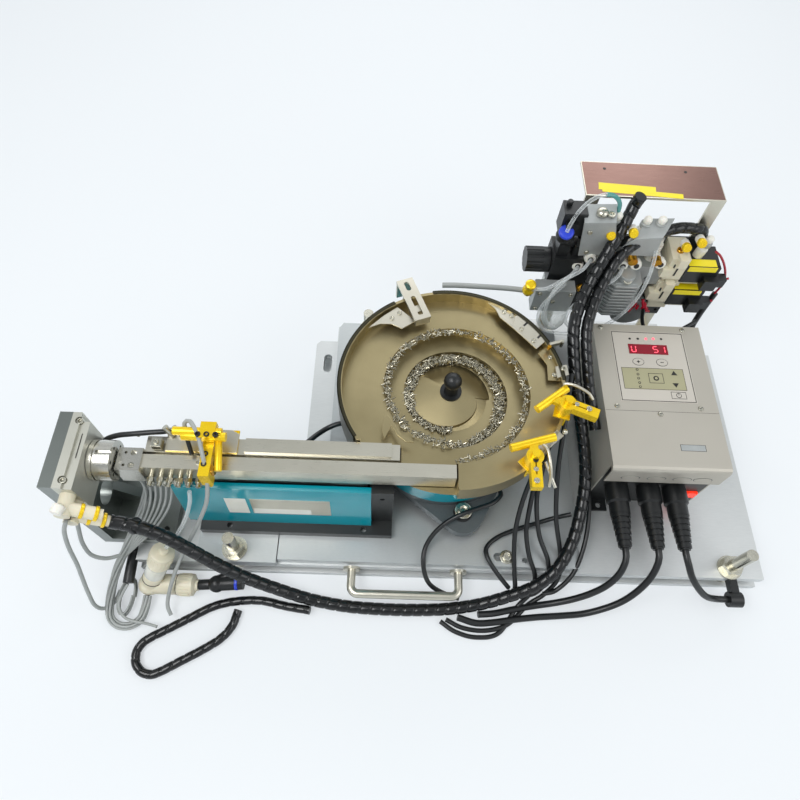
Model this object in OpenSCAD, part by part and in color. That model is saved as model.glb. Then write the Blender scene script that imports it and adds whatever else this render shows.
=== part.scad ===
// Automatic screw feeder: vibratory bowl, linear track, indexing head, controller and air service
// unit on a two-layer aluminium base. Millimetres, Z up, origin under the middle of the lower plate.

/* [Base plates] */
// Width of both base plates
base_w = 672; // [664:2:690]
// Depth of both base plates
base_d = 334; // [330:1:344]
// Depth of the narrow wing at the left
wing_d = 106; // [102:1:114]
// Width of the narrow wing at the left
wing_w = 167; // [163:1:171]
// Width of the step at the back right corner
step_w = 59; // [50:1:64]
// Depth of the step at the back right corner
step_d = 47; // [40:1:60]
// Thickness of the lower plate
lower_t = 8; // [6:1:12]
// Gap between the two plates
plate_gap = 10; // [8:1:14]
// Thickness of the upper plate
upper_t = 10; // [8:1:14]
// How far the lower plate stands out at the front
lower_lip = 3; // [1:0.5:6]
// Thickness of the raised deck plates
deck_t = 12; // [10:1:16]

/* [Studs and handle] */
// Diameter of the clamping studs
stud_d = 12; // [10:1:14]
// Height of the studs above the upper plate
stud_h = 51; // [42:1:60]
// Diameter of the handle rod
handle_d = 9; // [7:0.5:11]
// Distance between the handle's posts
handle_w = 114; // [100:1:125]
// How far the handle stands out
handle_reach = 27; // [22:1:34]

/* [Bowl drive] */
// Bowl axis, left to right
bowl_x = -13; // [-15:0.5:-11]
// Bowl axis, front to back
bowl_y = -18; // [-19:0.5:-17]
// Outer radius of the drive's skirt
skirt_r = 90; // [88:0.5:93]
// Wall of the skirt
skirt_t = 2; // [1.5:0.5:3]
// Height of the skirt
skirt_h = 45; // [42:1:50]
// Distance of the rubber feet from the bowl axis
foot_pcd_r = 100; // [98:1:103]
// Radius of the casting's lobes
lobe_r = 22; // [20:1:24]
// Height of the rubber feet
foot_h = 12; // [9:1:16]
// Thickness of the drive casting
cast_t = 12; // [10:1:16]

/* [Bowl] */
// Outer radius of the bowl
bowl_r = 112.5; // [111:0.5:115]
// Wall of the bowl's rim
rim_t = 3; // [2:0.5:4]
// Height of the bowl
bowl_h = 40; // [38:1:46]
// Thickness of the bowl's floor
floor_t = 8; // [6:1:10]
// Rise of the spiral track in one turn
turn_rise = 13; // [10:0.5:14]
// Inner radius where the spiral starts
spiral_r = 42; // [36:1:46]

/* [Linear feeder] */
// Middle of the track's front rail, front to back
track_y = -110; // [-111:0.5:-109]
// Width of the front rail
rail_w = 13.5; // [12:0.5:15]
// Height of the rails
rail_h = 22; // [18:1:24]
// Slot between the rails, which holds the screws by their heads
slot_w = 3.2; // [2.5:0.1:4]
// Length of the feeder's foot
feeder_l = 201; // [196:1:204]
// Thickness of the feeder's foot
feeder_foot_t = 10; // [8:1:12]
// Length of the feeder's cover
cover_l = 191; // [186:1:194]
// Sheet of the covers
sheet_t = 2; // [1.5:0.5:2.5]
// Thickness of the leaf springs
leaf_t = 3; // [2:0.5:4]

/* [Indexing head] */
// Width of the rotary actuator, front to back
head_w = 73; // [70:1:76]
// Thickness of the column
column_t = 12; // [10:1:13]
// Top of the column above the base
column_h = 160; // [156:1:166]
// Radius of the indexing disc
disc_r = 19; // [16:0.5:21]
// Radius of the rotor shaft
rotor_r = 8; // [6:0.5:9]
// Gap between the disc and the track's end
disc_gap = 1.5; // [1.2:0.1:2]

/* [Controller] */
// Width of the controller
ctrl_w = 120; // [116:1:124]
// Length of the controller
ctrl_l = 169; // [160:1:174]
// Height of the controller
ctrl_h = 104; // [98:1:110]
// Wall of the controller's case
ctrl_wall = 2.5; // [2:0.5:3.5]
// Radius of the cable plugs
plug_r = 12.5; // [11:0.5:13]
// Length of the cable plugs
plug_l = 66; // [60:1:70]

/* [Air service unit] */
// Width of the handle bracket
bracket_w = 145; // [140:1:150]
// Depth of the bracket's top
bracket_d = 50; // [44:1:56]
// Top of the bracket above the base
bracket_h = 219; // [214:1:226]
// Sheet of the bracket
bracket_t = 2.5; // [2:0.5:3]
// Width of the bracket's legs
leg_w = 15; // [12:1:18]
// Thickness of the panel that carries the valves
panel_t = 3; // [2:0.5:4]

/* [Fits] */
// Radial clearance of turning fits
run_fit = 0.05; // [0.03:0.01:0.1]
// Gap between pieces that move past each other
move_gap = 0.5; // [0.4:0.1:0.8]
// Radial clearance of bolts in their holes
bolt_fit = 0.3; // [0.2:0.1:0.5]

/* [Hidden] */
$fn = 48;

// Levels, from the table up
z_upper = lower_t + plate_gap;
z_base = z_upper + upper_t;
z_deck = z_base + deck_t;

// Edges of the base
x_left = -base_w / 2;
x_right = base_w / 2;
y_front = -base_d / 2;
y_back = base_d / 2;

// Studs: front left, front right, back left, back right
stud_inset = 11.5;
thread_r = stud_d / 2 - 0.2;
stud_back_y = y_back - 39;
stud_places = [[x_left + 105, y_front + stud_inset, z_deck], [x_right - 36, y_front + stud_inset, z_base],
  [x_left + wing_w + 65.5, stud_back_y, z_deck], [80, stud_back_y, z_deck]];
washer_r = 13;
washer_t = 2.5;
nut_r = 11;
nut_h = 10;
spacer_r = 11;

// Deck plates
deck_left = -186;
deck_right = 134;
deck_back = 140;
deck_step_x = -141;
deck_step_y = -75;
deck_front = y_front + 2;
pad_left = -270;
pad_front = y_front - 1.7;
pad_back = -72;
slot_at = [53, y_front + 12];
rear_left = 60;
tab_back = y_back - 48;

// Bowl drive, from the deck up
z_cast = z_deck + foot_h;
z_step = z_cast + cast_t;
step_h = 9;
z_skirt = z_step + step_h;
z_skirt_top = z_skirt + skirt_h;
foot_r = 14;
foot_bolt_r = 4;
foot_turn = -78.5;
spider_t = 12;
z_spider = z_skirt_top - 6;
boss_h = 4;
boss_r = 32;
z_bowl = z_spider + spider_t + boss_h;
spider_r = skirt_r - skirt_t - 4;
spring_pcd_r = 62;
spring_w = 30;
spring_tilt = 15;
bolt_r = 5;

// Bowl levels
z_floor = z_bowl + floor_t;
z_rim = z_bowl + bowl_h;
wall_r = bowl_r - rim_t;
hub_seat_r = 12;
hub_rise = 12;
turns = 2;
turn_steps = 48;
exit_angle = -88;
exit_r = 84;
z_exit = z_floor + turns * turn_rise;

// Linear track, which takes its height from the bowl's outlet
track_drop = 0.5;
z_rail_top = z_exit - track_drop;
z_rail = z_rail_top - rail_h;
rail_front = track_y - rail_w / 2;
rail_back = track_y + rail_w / 2;
back_rail_w = 16;
back_rail_y = rail_back + slot_w;
back_rail_end = back_rail_y + back_rail_w;
back_rail_drop = 2;
rail_right = bowl_x + 3;
back_rail_right = bowl_x - 50;
rail_left = -300;
web_h = 6;
end_block_l = 22;
notch_gap = 1.5;

// Linear feeder
feeder_right = bowl_x - 54;
feeder_left = feeder_right - feeder_l;
feeder_front = -139;
feeder_back = -80;
z_feeder = z_deck + feeder_foot_t;
body_front = track_y - 6;
body_back = track_y + 24;
body_w = body_back - body_front;
mass_h = 26;
top_bar_t = 14;
riser_h = 7;
z_top_bar = z_rail - riser_h - top_bar_t;
cover_left = feeder_right - 22 - cover_l;
cover_right = cover_left + cover_l;
cover_front = body_front - 12.7;
cover_lean = 6;
z_cover_top = z_top_bar + 12;
cover_back = feeder_back + 1;
end_back = feeder_back - 17;
leaf_tilt = 12;
leaf_places = [feeder_left + 25, feeder_left + 135];
core_x = feeder_left + 60;

// Indexing head
head_front = track_y - 39;
head_back = head_front + head_w;
z_head_top = z_base + column_h;
z_disc = z_rail_top - 3;
end_block_left = rail_left - end_block_l;
disc_right = end_block_left - disc_gap;
disc_t = 20;
head_right = disc_right - disc_t - move_gap;
column_left = x_left - 36;
column_right = column_left + column_t;
head_plate_t = 8;
head_h = 54;
foot_plate_t = 12;
rotor_l = 14;
elbow_levels = [z_head_top - 16, z_head_top - 34];
elbow_l = 31;

// Controller
ctrl_right = x_right - 66.5;
ctrl_left = ctrl_right - ctrl_w;
ctrl_front = -82;
ctrl_back = ctrl_front + ctrl_l;
z_ctrl_top = z_base + ctrl_h;
cover_skin = 1.5;
rocker_at = ctrl_right - 14;
socket_places = [rocker_at - 83, rocker_at - 49, rocker_at - 21];
z_socket = z_base + 44;
socket_r = 12;
flange_t = 3;
z_rocker = z_base + 28;
rocker_w = 20;
rocker_h = 13;

// Air service unit
bracket_left = 118;
bracket_right = bracket_left + bracket_w;
leg_front = y_back - 4;
leg_back = leg_front + bracket_t;
z_bracket = z_base + bracket_h;
panel_front = leg_front - panel_t;
z_panel = z_base + 32;
z_panel_top = z_base + 167;
manifold_left = 145;
manifold_right = 222;
manifold_d = 28;
z_manifold = z_base + 122;
manifold_h = 28;
ports = [manifold_left + 8, manifold_left + 36, manifold_left + 62];
valve_levels = [z_base + 132, z_base + 92];
valve_left = 226;
valve_right = 248;
valve_d = 28;
coil_right = 280;
regulator_x = 112;
regulator_y = panel_front - 16;
z_regulator = z_base + 142;

// A block between two opposite corners
module block(lo, hi) {
  translate(lo) cube(hi - lo);
}

// Bars along X and Y, named by the end they start from
module bar_x(r, l) {
  rotate([0, 90, 0]) cylinder(r = r, h = l);
}

module bar_y(r, l) {
  rotate([-90, 0, 0]) cylinder(r = r, h = l);
}

// A hexagon across its corners
module hexagon(r, h) {
  cylinder(r = r, h = h, $fn = 6);
}

// A slot with round ends along X, around the origin
module slot_x(l, r, h) {
  for (s = [-1, 1]) translate([s * (l / 2 - r), 0, 0]) cylinder(r = r, h = h, $fn = 24);
  translate([r - l / 2, -r, 0]) cube([l - 2 * r, 2 * r, h]);
}

// Copies at equal angles about the bowl axis
module around_bowl(count, first) {
  for (i = [0 : count - 1]) translate([bowl_x, bowl_y, 0]) rotate(first + i * 360 / count) children();
}

// ---- Base ----

module base_outline(lip) {
  polygon([[x_left, y_front - lip], [x_right, y_front - lip], [x_right, y_back - step_d],
    [x_right - step_w, y_back - step_d], [x_right - step_w, y_back], [rear_left, y_back],
    [rear_left, deck_back + 2], [deck_step_x - 2, deck_back + 2], [deck_step_x - 2, tab_back],
    [x_left + wing_w + 5, tab_back], [x_left + wing_w, tab_back - 5],
    [x_left + wing_w, y_front + wing_d], [x_left, y_front + wing_d]]);
}

module stud_holes() {
  for (p = stud_places) translate([p[0], p[1], -1]) cylinder(r = stud_d / 2 + bolt_fit, h = z_deck + 2);
}

module lower_plate() {
  color("silver") difference() {
    linear_extrude(lower_t) base_outline(lower_lip);
    stud_holes();
  }
}

module upper_plate() {
  color("gainsboro") difference() {
    translate([0, 0, z_upper]) linear_extrude(upper_t) base_outline(0);
    stud_holes();
    // Hoisting slot in the corner tab
    translate([x_left + wing_w + 16, y_back - 81, z_upper - 1]) rotate(90) slot_x(26, 5, upper_t + 2);
    // Screw holes of the front handle
    for (s = [-1, 1]) translate([handle_mid + s * handle_w / 2, y_front - 1, z_base - upper_t / 2])
      bar_y(3 + bolt_fit, 16);
  }
}

// Each stud has a threaded shank up to its nut and a plain guide above it
module clamp_studs() {
  color("lightsteelblue") for (p = stud_places) {
    z_guide = p[2] + washer_t + nut_h + 1.5;
    translate([p[0], p[1], 1]) cylinder(r = thread_r, h = z_guide);
    translate([p[0], p[1], z_guide]) cylinder(r = stud_d / 2, h = z_base + stud_h - z_guide);
  }
}

// Nuts and washers on the studs, and the spacers that hold the plates apart
module clamp_hardware() {
  color("khaki") difference() {
    for (p = stud_places) {
      translate(p) cylinder(r = washer_r, h = washer_t);
      translate(p + [0, 0, washer_t]) hexagon(nut_r, nut_h);
      translate([p[0], p[1], lower_t]) cylinder(r = spacer_r, h = plate_gap);
    }
    for (p = stud_places) translate([p[0], p[1], -1])
      cylinder(r = thread_r + run_fit, h = z_deck + washer_t + nut_h + 2);
  }
}

module deck_plates() {
  color("darkgray") difference() {
    union() {
      translate([0, 0, z_base]) linear_extrude(deck_t) polygon([[deck_left, deck_front],
        [deck_right, deck_front], [deck_right, deck_back], [deck_step_x + 5, deck_back],
        [deck_step_x, deck_back - 8], [deck_step_x, deck_step_y], [deck_left, deck_step_y]]);
      block([pad_left, pad_front, z_base], [deck_left - 1, pad_back, z_deck]);
    }
    stud_holes();
    translate([slot_at[0], slot_at[1], z_base - 1]) slot_x(22, 4.5, deck_t + 2);
    translate([slot_at[0] + 22, slot_at[1] - 3, z_base - 1]) cylinder(r = 3, h = deck_t + 2);
    // Tapped holes under the rubber feet
    around_bowl(3, foot_turn) translate([foot_pcd_r, 0, z_base - 1])
      cylinder(r = foot_bolt_r + bolt_fit, h = deck_t + 2);
  }
}

handle_mid = -51;
handle_bend = 8;

module front_handle() {
  post_l = handle_reach - handle_bend;
  z_mid = z_base - upper_t / 2;
  color("silver") translate([handle_mid, y_front, z_mid]) {
    translate([handle_bend - handle_w / 2, -handle_reach, 0])
      bar_x(handle_d / 2, handle_w - 2 * handle_bend);
    for (s = [-1, 1]) {
      translate([s * handle_w / 2, -post_l, 0]) bar_y(handle_d / 2, post_l);
      translate([s * handle_w / 2, -3, 0]) bar_y(handle_d, 3);
      translate([s * handle_w / 2, -0.5, 0]) bar_y(3, 12);
      translate([s * (handle_w / 2 - handle_bend), -post_l, 0]) rotate(s > 0 ? -90 : 180)
        rotate_extrude(angle = 90) translate([handle_bend, 0]) circle(d = handle_d);
    }
  }
}

// ---- Bowl drive ----

// Outline of the casting: a disc with three lobes joined to it by straight flanks
module lobed_outline(r) {
  lean = acos((r - lobe_r) / foot_pcd_r);
  circle(r = r, $fn = 96);
  for (i = [0 : 2]) rotate(foot_turn + i * 120) {
    translate([foot_pcd_r, 0]) circle(r = lobe_r);
    polygon([[0, 0], [r * cos(lean), r * sin(lean)],
      [foot_pcd_r + lobe_r * cos(lean), lobe_r * sin(lean)],
      [foot_pcd_r + lobe_r * cos(lean), -lobe_r * sin(lean)], [r * cos(lean), -r * sin(lean)]]);
  }
}

module rubber_feet() {
  color("dimgray") around_bowl(3, foot_turn) translate([foot_pcd_r, 0, z_deck]) {
    cylinder(r = foot_r, h = foot_h);
    translate([0, 0, -deck_t / 2]) cylinder(r = foot_bolt_r, h = deck_t / 2 + foot_h + cast_t);
    translate([0, 0, foot_h + cast_t]) cylinder(r = 10, h = 1.5);
    translate([0, 0, foot_h + cast_t + 1.5]) hexagon(7.5, 6);
  }
}

module drive_base() {
  color("slategray") difference() {
    union() {
      translate([bowl_x, bowl_y, z_cast]) linear_extrude(cast_t) lobed_outline(skirt_r - 4);
      translate([bowl_x, bowl_y, z_step]) cylinder(r = skirt_r, h = step_h, $fn = 96);
    }
    around_bowl(3, foot_turn) translate([foot_pcd_r, 0, z_cast - 1])
      cylinder(r = foot_bolt_r + bolt_fit, h = cast_t + step_h + 2);
    around_bowl(3, foot_turn) translate([foot_pcd_r, 0, z_step]) cylinder(r = 11, h = step_h + 1);
  }
}

module drive_skirt() {
  color("teal") translate([bowl_x, bowl_y, z_skirt]) difference() {
    cylinder(r = skirt_r, h = skirt_h, $fn = 96);
    translate([0, 0, -1]) cylinder(r = skirt_r - skirt_t, h = skirt_h + 2, $fn = 96);
  }
}

// Leaf springs, each leaning between two clamps: three in the bowl drive, two under the track
module spring_packs() {
  bowl_springs();
  track_springs();
}

module bowl_springs() {
  spring_h = z_spider - z_skirt;
  clamp_h = 12;
  spring_l = (spring_h - clamp_h / 2) / cos(spring_tilt);
  color("lightgray") around_bowl(3, 30) translate([spring_pcd_r, 0, z_skirt]) {
    difference() {
      translate([-spring_w / 2, -10, 0]) cube([spring_w, 20, 16]);
      for (s = [-1, 1]) translate([s * 8, -11, 9]) bar_y(2.5, 5);
    }
    translate([-spring_w / 2, 1, spring_h - clamp_h]) cube([spring_w, 18, clamp_h]);
    translate([-spring_w / 2 + 1, 0, 2]) rotate([-spring_tilt, 0, 0])
      translate([0, -leaf_t / 2, 0]) cube([spring_w - 2, leaf_t, spring_l]);
  }
}

core_h = 24;
coil_h = 15;

// Magnets with their windings: one in the bowl drive, one under the track
module drive_magnets() {
  bowl_magnet();
  track_magnet();
}

module bowl_magnet() {
  translate([bowl_x, bowl_y, z_skirt]) {
    color("dimgray") translate([-22, -14, 0]) cube([44, 28, core_h]);
    color("peru") translate([0, 0, 4]) difference() {
      translate([-29, -21, 0]) cube([58, 42, coil_h]);
      translate([-22, -14, -1]) cube([44, 28, coil_h + 2]);
    }
  }
}

// Top plate of the drive, with the armature hanging over the magnet
module drive_top() {
  hang = z_spider - (z_skirt + core_h) - 1.5;
  translate([bowl_x, bowl_y, z_spider]) {
    color("silver") difference() {
      union() {
        cylinder(r = spider_r, h = spider_t, $fn = 96);
        cylinder(r = boss_r, h = spider_t + boss_h);
      }
      translate([0, 0, -1]) cylinder(r = bolt_r + run_fit, h = spider_t + boss_h + 2);
      for (i = [0 : 5]) rotate(i * 60) translate([62, 0, -1]) cylinder(r = 6, h = spider_t + 2);
    }
    color("dimgray") for (s = [-1, 1]) translate([s * 14 - 7, -12, -hang]) cube([14, 24, hang]);
  }
}

// ---- Bowl ----

// Radius of the spiral wall after a number of steps, and its height
function spiral_at(i) = spiral_r + (exit_r - spiral_r) * i / (turns * turn_steps);
function rise_at(i) = z_floor + turn_rise * i / turn_steps;
function angle_at(i) = exit_angle + (turns * turn_steps - i) * 360 / turn_steps;
function on_ring(r, i, z) = [r * cos(angle_at(i)), r * sin(angle_at(i)), z];

// The hollow of the bowl: a cone-shaped floor, a ledge that climbs two turns, and the rim's inside.
// Seen from above, the ledge runs clockwise and its steps are numbered from the floor up.
module bowl_hollow() {
  n = turn_steps;
  m = turns * n;
  first_ledge = [for (i = [0 : n]) on_ring(spiral_at(i + n), i, rise_at(i))];
  second_ledge = [for (i = [n : m]) on_ring(wall_r, i, rise_at(i))];
  groups = [
    [for (i = [0 : n - 1]) on_ring(hub_seat_r, i, z_floor + hub_rise)],
    [for (i = [0 : n - 1]) on_ring(spiral_r - 4, i, z_floor)],
    [for (i = [0 : n - 1]) on_ring(spiral_at(i), i, z_floor)],
    [for (i = [0 : m]) on_ring(spiral_at(i), i, rise_at(i))],
    first_ledge,
    second_ledge,
    [for (i = [0 : n - 1]) on_ring(wall_r, i, z_rim + 1)],
    [[0, 0, z_floor + hub_rise]]];
  starts = [0, n, 2 * n, 3 * n, 3 * n + m + 1, 4 * n + m + 2, 5 * n + m + 3, 6 * n + m + 3];
  function seat(i) = starts[0] + i % n;
  function ring(i) = starts[1] + i % n;
  // The floor's edge starts at the ledge's first inner point and ends at its first outer point
  function edge(i) = i == 0 ? starts[3] : i == n ? starts[4] : starts[2] + i;
  function inner(i) = starts[3] + i;
  function outer(i) = starts[4] + i;
  function wall(i) = starts[5] + i - n;
  function mouth(i) = starts[6] + i % n;
  centre = starts[7];
  faces = concat(
    [for (i = [0 : n - 1]) [centre, seat(i), seat(i + 1)]],
    [for (i = [0 : n - 1]) [seat(i), ring(i), ring(i + 1), seat(i + 1)]],
    [for (i = [0 : n - 2]) [ring(i), edge(i), edge(i + 1), ring(i + 1)]],
    [[ring(n - 1), edge(n - 1), edge(n), edge(0), ring(0)]],
    [[edge(1), edge(0), inner(1)]],
    [for (i = [1 : n - 1]) [edge(i + 1), edge(i), inner(i), inner(i + 1)]],
    [for (i = [0 : n - 1]) [inner(i), outer(i), outer(i + 1)]],
    [for (i = [0 : n - 1]) [inner(i), outer(i + 1), inner(i + 1)]],
    [for (i = [0 : n - 1]) [outer(i + 1), outer(i), inner(n + i), inner(n + i + 1)]],
    [[inner(n), outer(n), wall(n + 1)], [outer(n), wall(n), wall(n + 1)]],
    [for (i = [n + 1 : m - 1]) [inner(i), wall(i), wall(i + 1)]],
    [for (i = [n : m - 1]) [inner(i), wall(i + 1), inner(i + 1)]],
    [[inner(m), wall(m), wall(n), outer(n)]],
    [[wall(n + 1), wall(n), wall(m), mouth(0), mouth(1)]],
    [for (i = [n + 1 : m - 1]) [wall(i + 1), wall(i), mouth(i), mouth(i + 1)]],
    [[for (i = [n - 1 : -1 : 0]) mouth(i)]]);
  polyhedron(points = [for (g = groups) each g],
    faces = [for (f = faces) [for (k = [len(f) - 1 : -1 : 0]) f[k]]]);
}

// Room for the linear track, which starts inside the bowl
module track_notch() {
  z_notch = z_rail - notch_gap;
  block([-bowl_r - 10, -bowl_r - 10, z_notch],
    [rail_right - bowl_x + notch_gap, rail_back - bowl_y + 1, z_rim + 1]);
  block([-bowl_r - 10, -bowl_r - 10, z_notch],
    [back_rail_right - bowl_x + notch_gap, back_rail_end - bowl_y + 1, z_rim + 1]);
}

module bowl() {
  color("darkkhaki") translate([bowl_x, bowl_y, 0]) difference() {
    rotate_extrude($fn = 96) polygon([[0, z_bowl], [boss_r + 46, z_bowl], [bowl_r - 10, z_bowl + 6],
      [bowl_r, z_bowl + 17], [bowl_r, z_rim], [0, z_rim]]);
    bowl_hollow();
    track_notch();
    translate([0, 0, z_bowl - 1]) cylinder(r = bolt_r + bolt_fit, h = floor_t + hub_rise + 2);
  }
}

// Centre bolt with its washer and ball knob
module bowl_knob() {
  z_seat = z_floor + hub_rise;
  color("black") translate([bowl_x, bowl_y, 0]) {
    translate([0, 0, z_spider + 1]) cylinder(r = bolt_r, h = z_seat - z_spider);
    translate([0, 0, z_seat]) cylinder(r = hub_seat_r - 1, h = 3);
    translate([0, 0, z_seat + 3]) cylinder(r1 = 7, r2 = 5, h = 14);
    translate([0, 0, z_seat + 22]) sphere(r = 9);
  }
}

// Bent plates that turn badly lying screws back into the bowl, screwed to the rim's outside
wiper_angles = [130, 58, 39];
wiper_reach = [24, 20, 16];

module bowl_wipers() {
  color("silver") for (i = [0 : len(wiper_angles) - 1])
    translate([bowl_x, bowl_y, z_rim]) rotate(wiper_angles[i]) {
      inner_r = wall_r - wiper_reach[i];
      difference() {
        block([inner_r, -11, 0], [bowl_r + 2, 11, 2]);
        for (s = [-1, 1]) translate([bowl_r - 6, s * 6, -1]) cylinder(r = 1.7, h = 4);
      }
      block([inner_r, -11, -5], [inner_r + 1.5, 11, 0]);
      block([bowl_r + 0.3, -11, -12], [bowl_r + 2, 11, 0]);
    }
}

bracket_turn = 112;

// Slotted bar over the rim, with two guide blocks
module bowl_bracket() {
  translate([bowl_x, bowl_y, z_rim]) rotate(bracket_turn) {
    color("silver") difference() {
      union() {
        block([wall_r - 30, -9, 0], [bowl_r + 22, 9, 3]);
        block([bowl_r + 19, -9, -22], [bowl_r + 22, 9, 0]);
        block([bowl_r + 0.3, -9, -14], [bowl_r + 3, 9, 0]);
      }
      translate([wall_r - 12, 0, -1]) slot_x(26, 2.6, 5);
      translate([bowl_r + 12, 0, -1]) slot_x(12, 2.6, 5);
    }
    color("white") for (r = [wall_r - 30, wall_r - 18]) block([r, -8, -7], [r + 8, 8, 0]);
  }
}

// Clamp posts of the air jets, each on a tab screwed to the rim
jet_angles = [-15, -50];
jet_post_r = bowl_r - 2;
jet_turns = [-7, -40];
rod_turns = [60, 107];
rod_lengths = [39, 44];
post_r = 4;
post_h = 24;
collar_h = 8;
arm_h = 9;

module jet_posts() {
  for (a = jet_angles) translate([bowl_x, bowl_y, z_rim]) rotate(a) {
    color("silver") block([wall_r - 8, -8, 0], [jet_post_r + 7, 8, 2]);
    color("silver") block([bowl_r + 0.3, -8, -12], [bowl_r + 2, 8, 0]);
    color("goldenrod") translate([jet_post_r, 0, 2]) cylinder(r = post_r, h = post_h);
    color("goldenrod") translate([jet_post_r, 0, 2]) cylinder(r = post_r + 3, h = collar_h);
  }
}

// Split clamp that swivels on its post and holds the jet's tube over the track
module jet_arm(i) {
  color("gold") translate([bowl_x, bowl_y, z_rim]) rotate(jet_angles[i])
    translate([jet_post_r, 0, 2 + collar_h + move_gap]) rotate(jet_turns[i]) {
      difference() {
        union() {
          cylinder(r = post_r + 4, h = arm_h);
          block([0, -5, 0], [30, 5, arm_h]);
          block([-15, -4, 2], [0, 4, arm_h - 2]);
        }
        translate([0, 0, -1]) cylinder(r = post_r + run_fit, h = arm_h + 2);
        block([post_r, -0.6, -1], [18, 0.6, arm_h + 1]);
      }
      translate([-15, 0, arm_h / 2]) rotate(rod_turns[i]) translate([-rod_lengths[i] / 2, 0, 0])
        bar_x(4, rod_lengths[i]);
    }
}

module jet_arm_1() {
  jet_arm(0);
}

module jet_arm_2() {
  jet_arm(1);
}

// ---- Linear feeder ----

module feeder_base() {
  color("gray") {
    difference() {
      block([feeder_left, feeder_front, z_deck], [feeder_right, feeder_back, z_feeder]);
      for (x = [feeder_left + 30, feeder_right - 30], y = [feeder_front + 6])
        translate([x, y, z_deck - 1]) cylinder(r = 3, h = feeder_foot_t + 2);
    }
    block([feeder_left + 8, body_front + 2, z_feeder], [feeder_right - 24, body_back - 2, z_feeder + mass_h]);
  }
}

module track_springs() {
  z_low = z_feeder + mass_h;
  leaf_h = z_top_bar - z_low;
  leaf_l = (leaf_h - 3) / cos(leaf_tilt);
  color("lightgray") for (x = leaf_places) translate([x, body_front + 3, z_low]) {
    cube([18, body_w - 6, 8]);
    translate([-9, 0, leaf_h - 8]) cube([18, body_w - 6, 8]);
    translate([7, 1, 1]) rotate([0, -leaf_tilt, 0]) cube([leaf_t, body_w - 8, leaf_l]);
  }
}

module track_magnet() {
  z_low = z_feeder + mass_h;
  color("dimgray") block([core_x, body_front + 4, z_low], [core_x + 26, body_back - 4, z_low + 20]);
  color("peru") difference() {
    block([core_x + 3, body_front + 1, z_low + 4], [core_x + 17, body_back - 1, z_low + 23]);
    block([core_x - 1, body_front + 4, z_low - 1], [core_x + 27, body_back - 4, z_low + 20]);
  }
}

// Folded sheet in front and behind, standing on the foot
module feeder_cover() {
  color("teal") {
    translate([cover_left, 0, 0]) rotate([90, 0, 90]) linear_extrude(cover_l) polygon([
      [cover_front, z_feeder], [cover_front + cover_lean, z_cover_top],
      [cover_front + cover_lean + 6, z_cover_top], [cover_front + cover_lean + 6, z_cover_top - sheet_t],
      [cover_front + cover_lean + sheet_t, z_cover_top - sheet_t],
      [cover_front + sheet_t, z_feeder]]);
    block([cover_left, cover_back - 7 - sheet_t, z_cover_top - sheet_t],
      [cover_right, cover_back, z_cover_top]);
    block([cover_left, cover_back - sheet_t, z_feeder], [cover_right, cover_back, z_cover_top - sheet_t]);
  }
}

module feeder_end() {
  color("black") difference() {
    block([cover_right, cover_front + cover_lean, z_feeder], [feeder_right, end_back, z_cover_top]);
    translate([cover_right + 11, cover_front + cover_lean - 1, z_cover_top - 16]) bar_y(2.5, 8);
  }
}

// Top bar that the track stands on, with the armature below it
module feeder_top_bar() {
  z_low = z_feeder + mass_h;
  color("silver") {
    block([feeder_left + 6, body_front + 1, z_top_bar], [feeder_right - 26, body_back - 3, z_top_bar + top_bar_t]);
    for (x = [feeder_left + 20, feeder_right - 60])
      block([x, rail_front + 2, z_top_bar + top_bar_t], [x + 30, back_rail_end - 2, z_rail]);
  }
  color("dimgray") block([core_x + 28, body_front + 5, z_low + 2], [core_x + 34, body_back - 5, z_top_bar]);
}

// Two rails with the screws' slot between them, joined by a web
module track_rails() {
  z_back = z_rail_top - back_rail_drop;
  color("silver") {
    difference() {
      union() {
        block([rail_left, rail_front, z_rail], [rail_right, rail_back, z_rail_top]);
        block([rail_left, back_rail_y, z_rail], [back_rail_right, back_rail_end, z_back]);
        block([rail_left, rail_front, z_rail], [back_rail_right, back_rail_end, z_rail + web_h]);
      }
      for (x = [rail_left + 28, rail_left + 48])
        translate([x, back_rail_y + 10, z_back - 4]) cylinder(r = 2.6, h = 5);
    }
    // Cover strip over the rear rail
    block([rail_left + 92, back_rail_y + 2, z_back], [back_rail_right - 8, back_rail_end, z_back + 3]);
  }
}

module track_end_block() {
  color("lightgray") difference() {
    block([end_block_left, rail_front - 4, z_rail - 2], [rail_left, rail_back + 5, z_rail_top + 2]);
    for (y = [rail_front + 1, rail_back]) {
      translate([rail_left - 8, y, z_rail_top - 3]) cylinder(r = 2.8, h = 6);
      translate([rail_left - 15, y, z_rail_top - 7]) cylinder(r = 1.3, h = 10);
    }
  }
}

// Air jets screwed into the front rail
module track_jets() {
  color("silver") for (i = [0 : 5]) translate([rail_left + 6 + i * 9, rail_front, z_rail + 7]) {
    rotate([180, 0, 0]) bar_y(2.5, 4);
    translate([0, -4, 0]) rotate([90, 0, 0]) rotate([0, 0, 30]) hexagon(3.4, 4);
    translate([0, -8, 0]) rotate([180, 0, 0]) bar_y(2.2, 4);
  }
}

clamp_x = -238;

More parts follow.
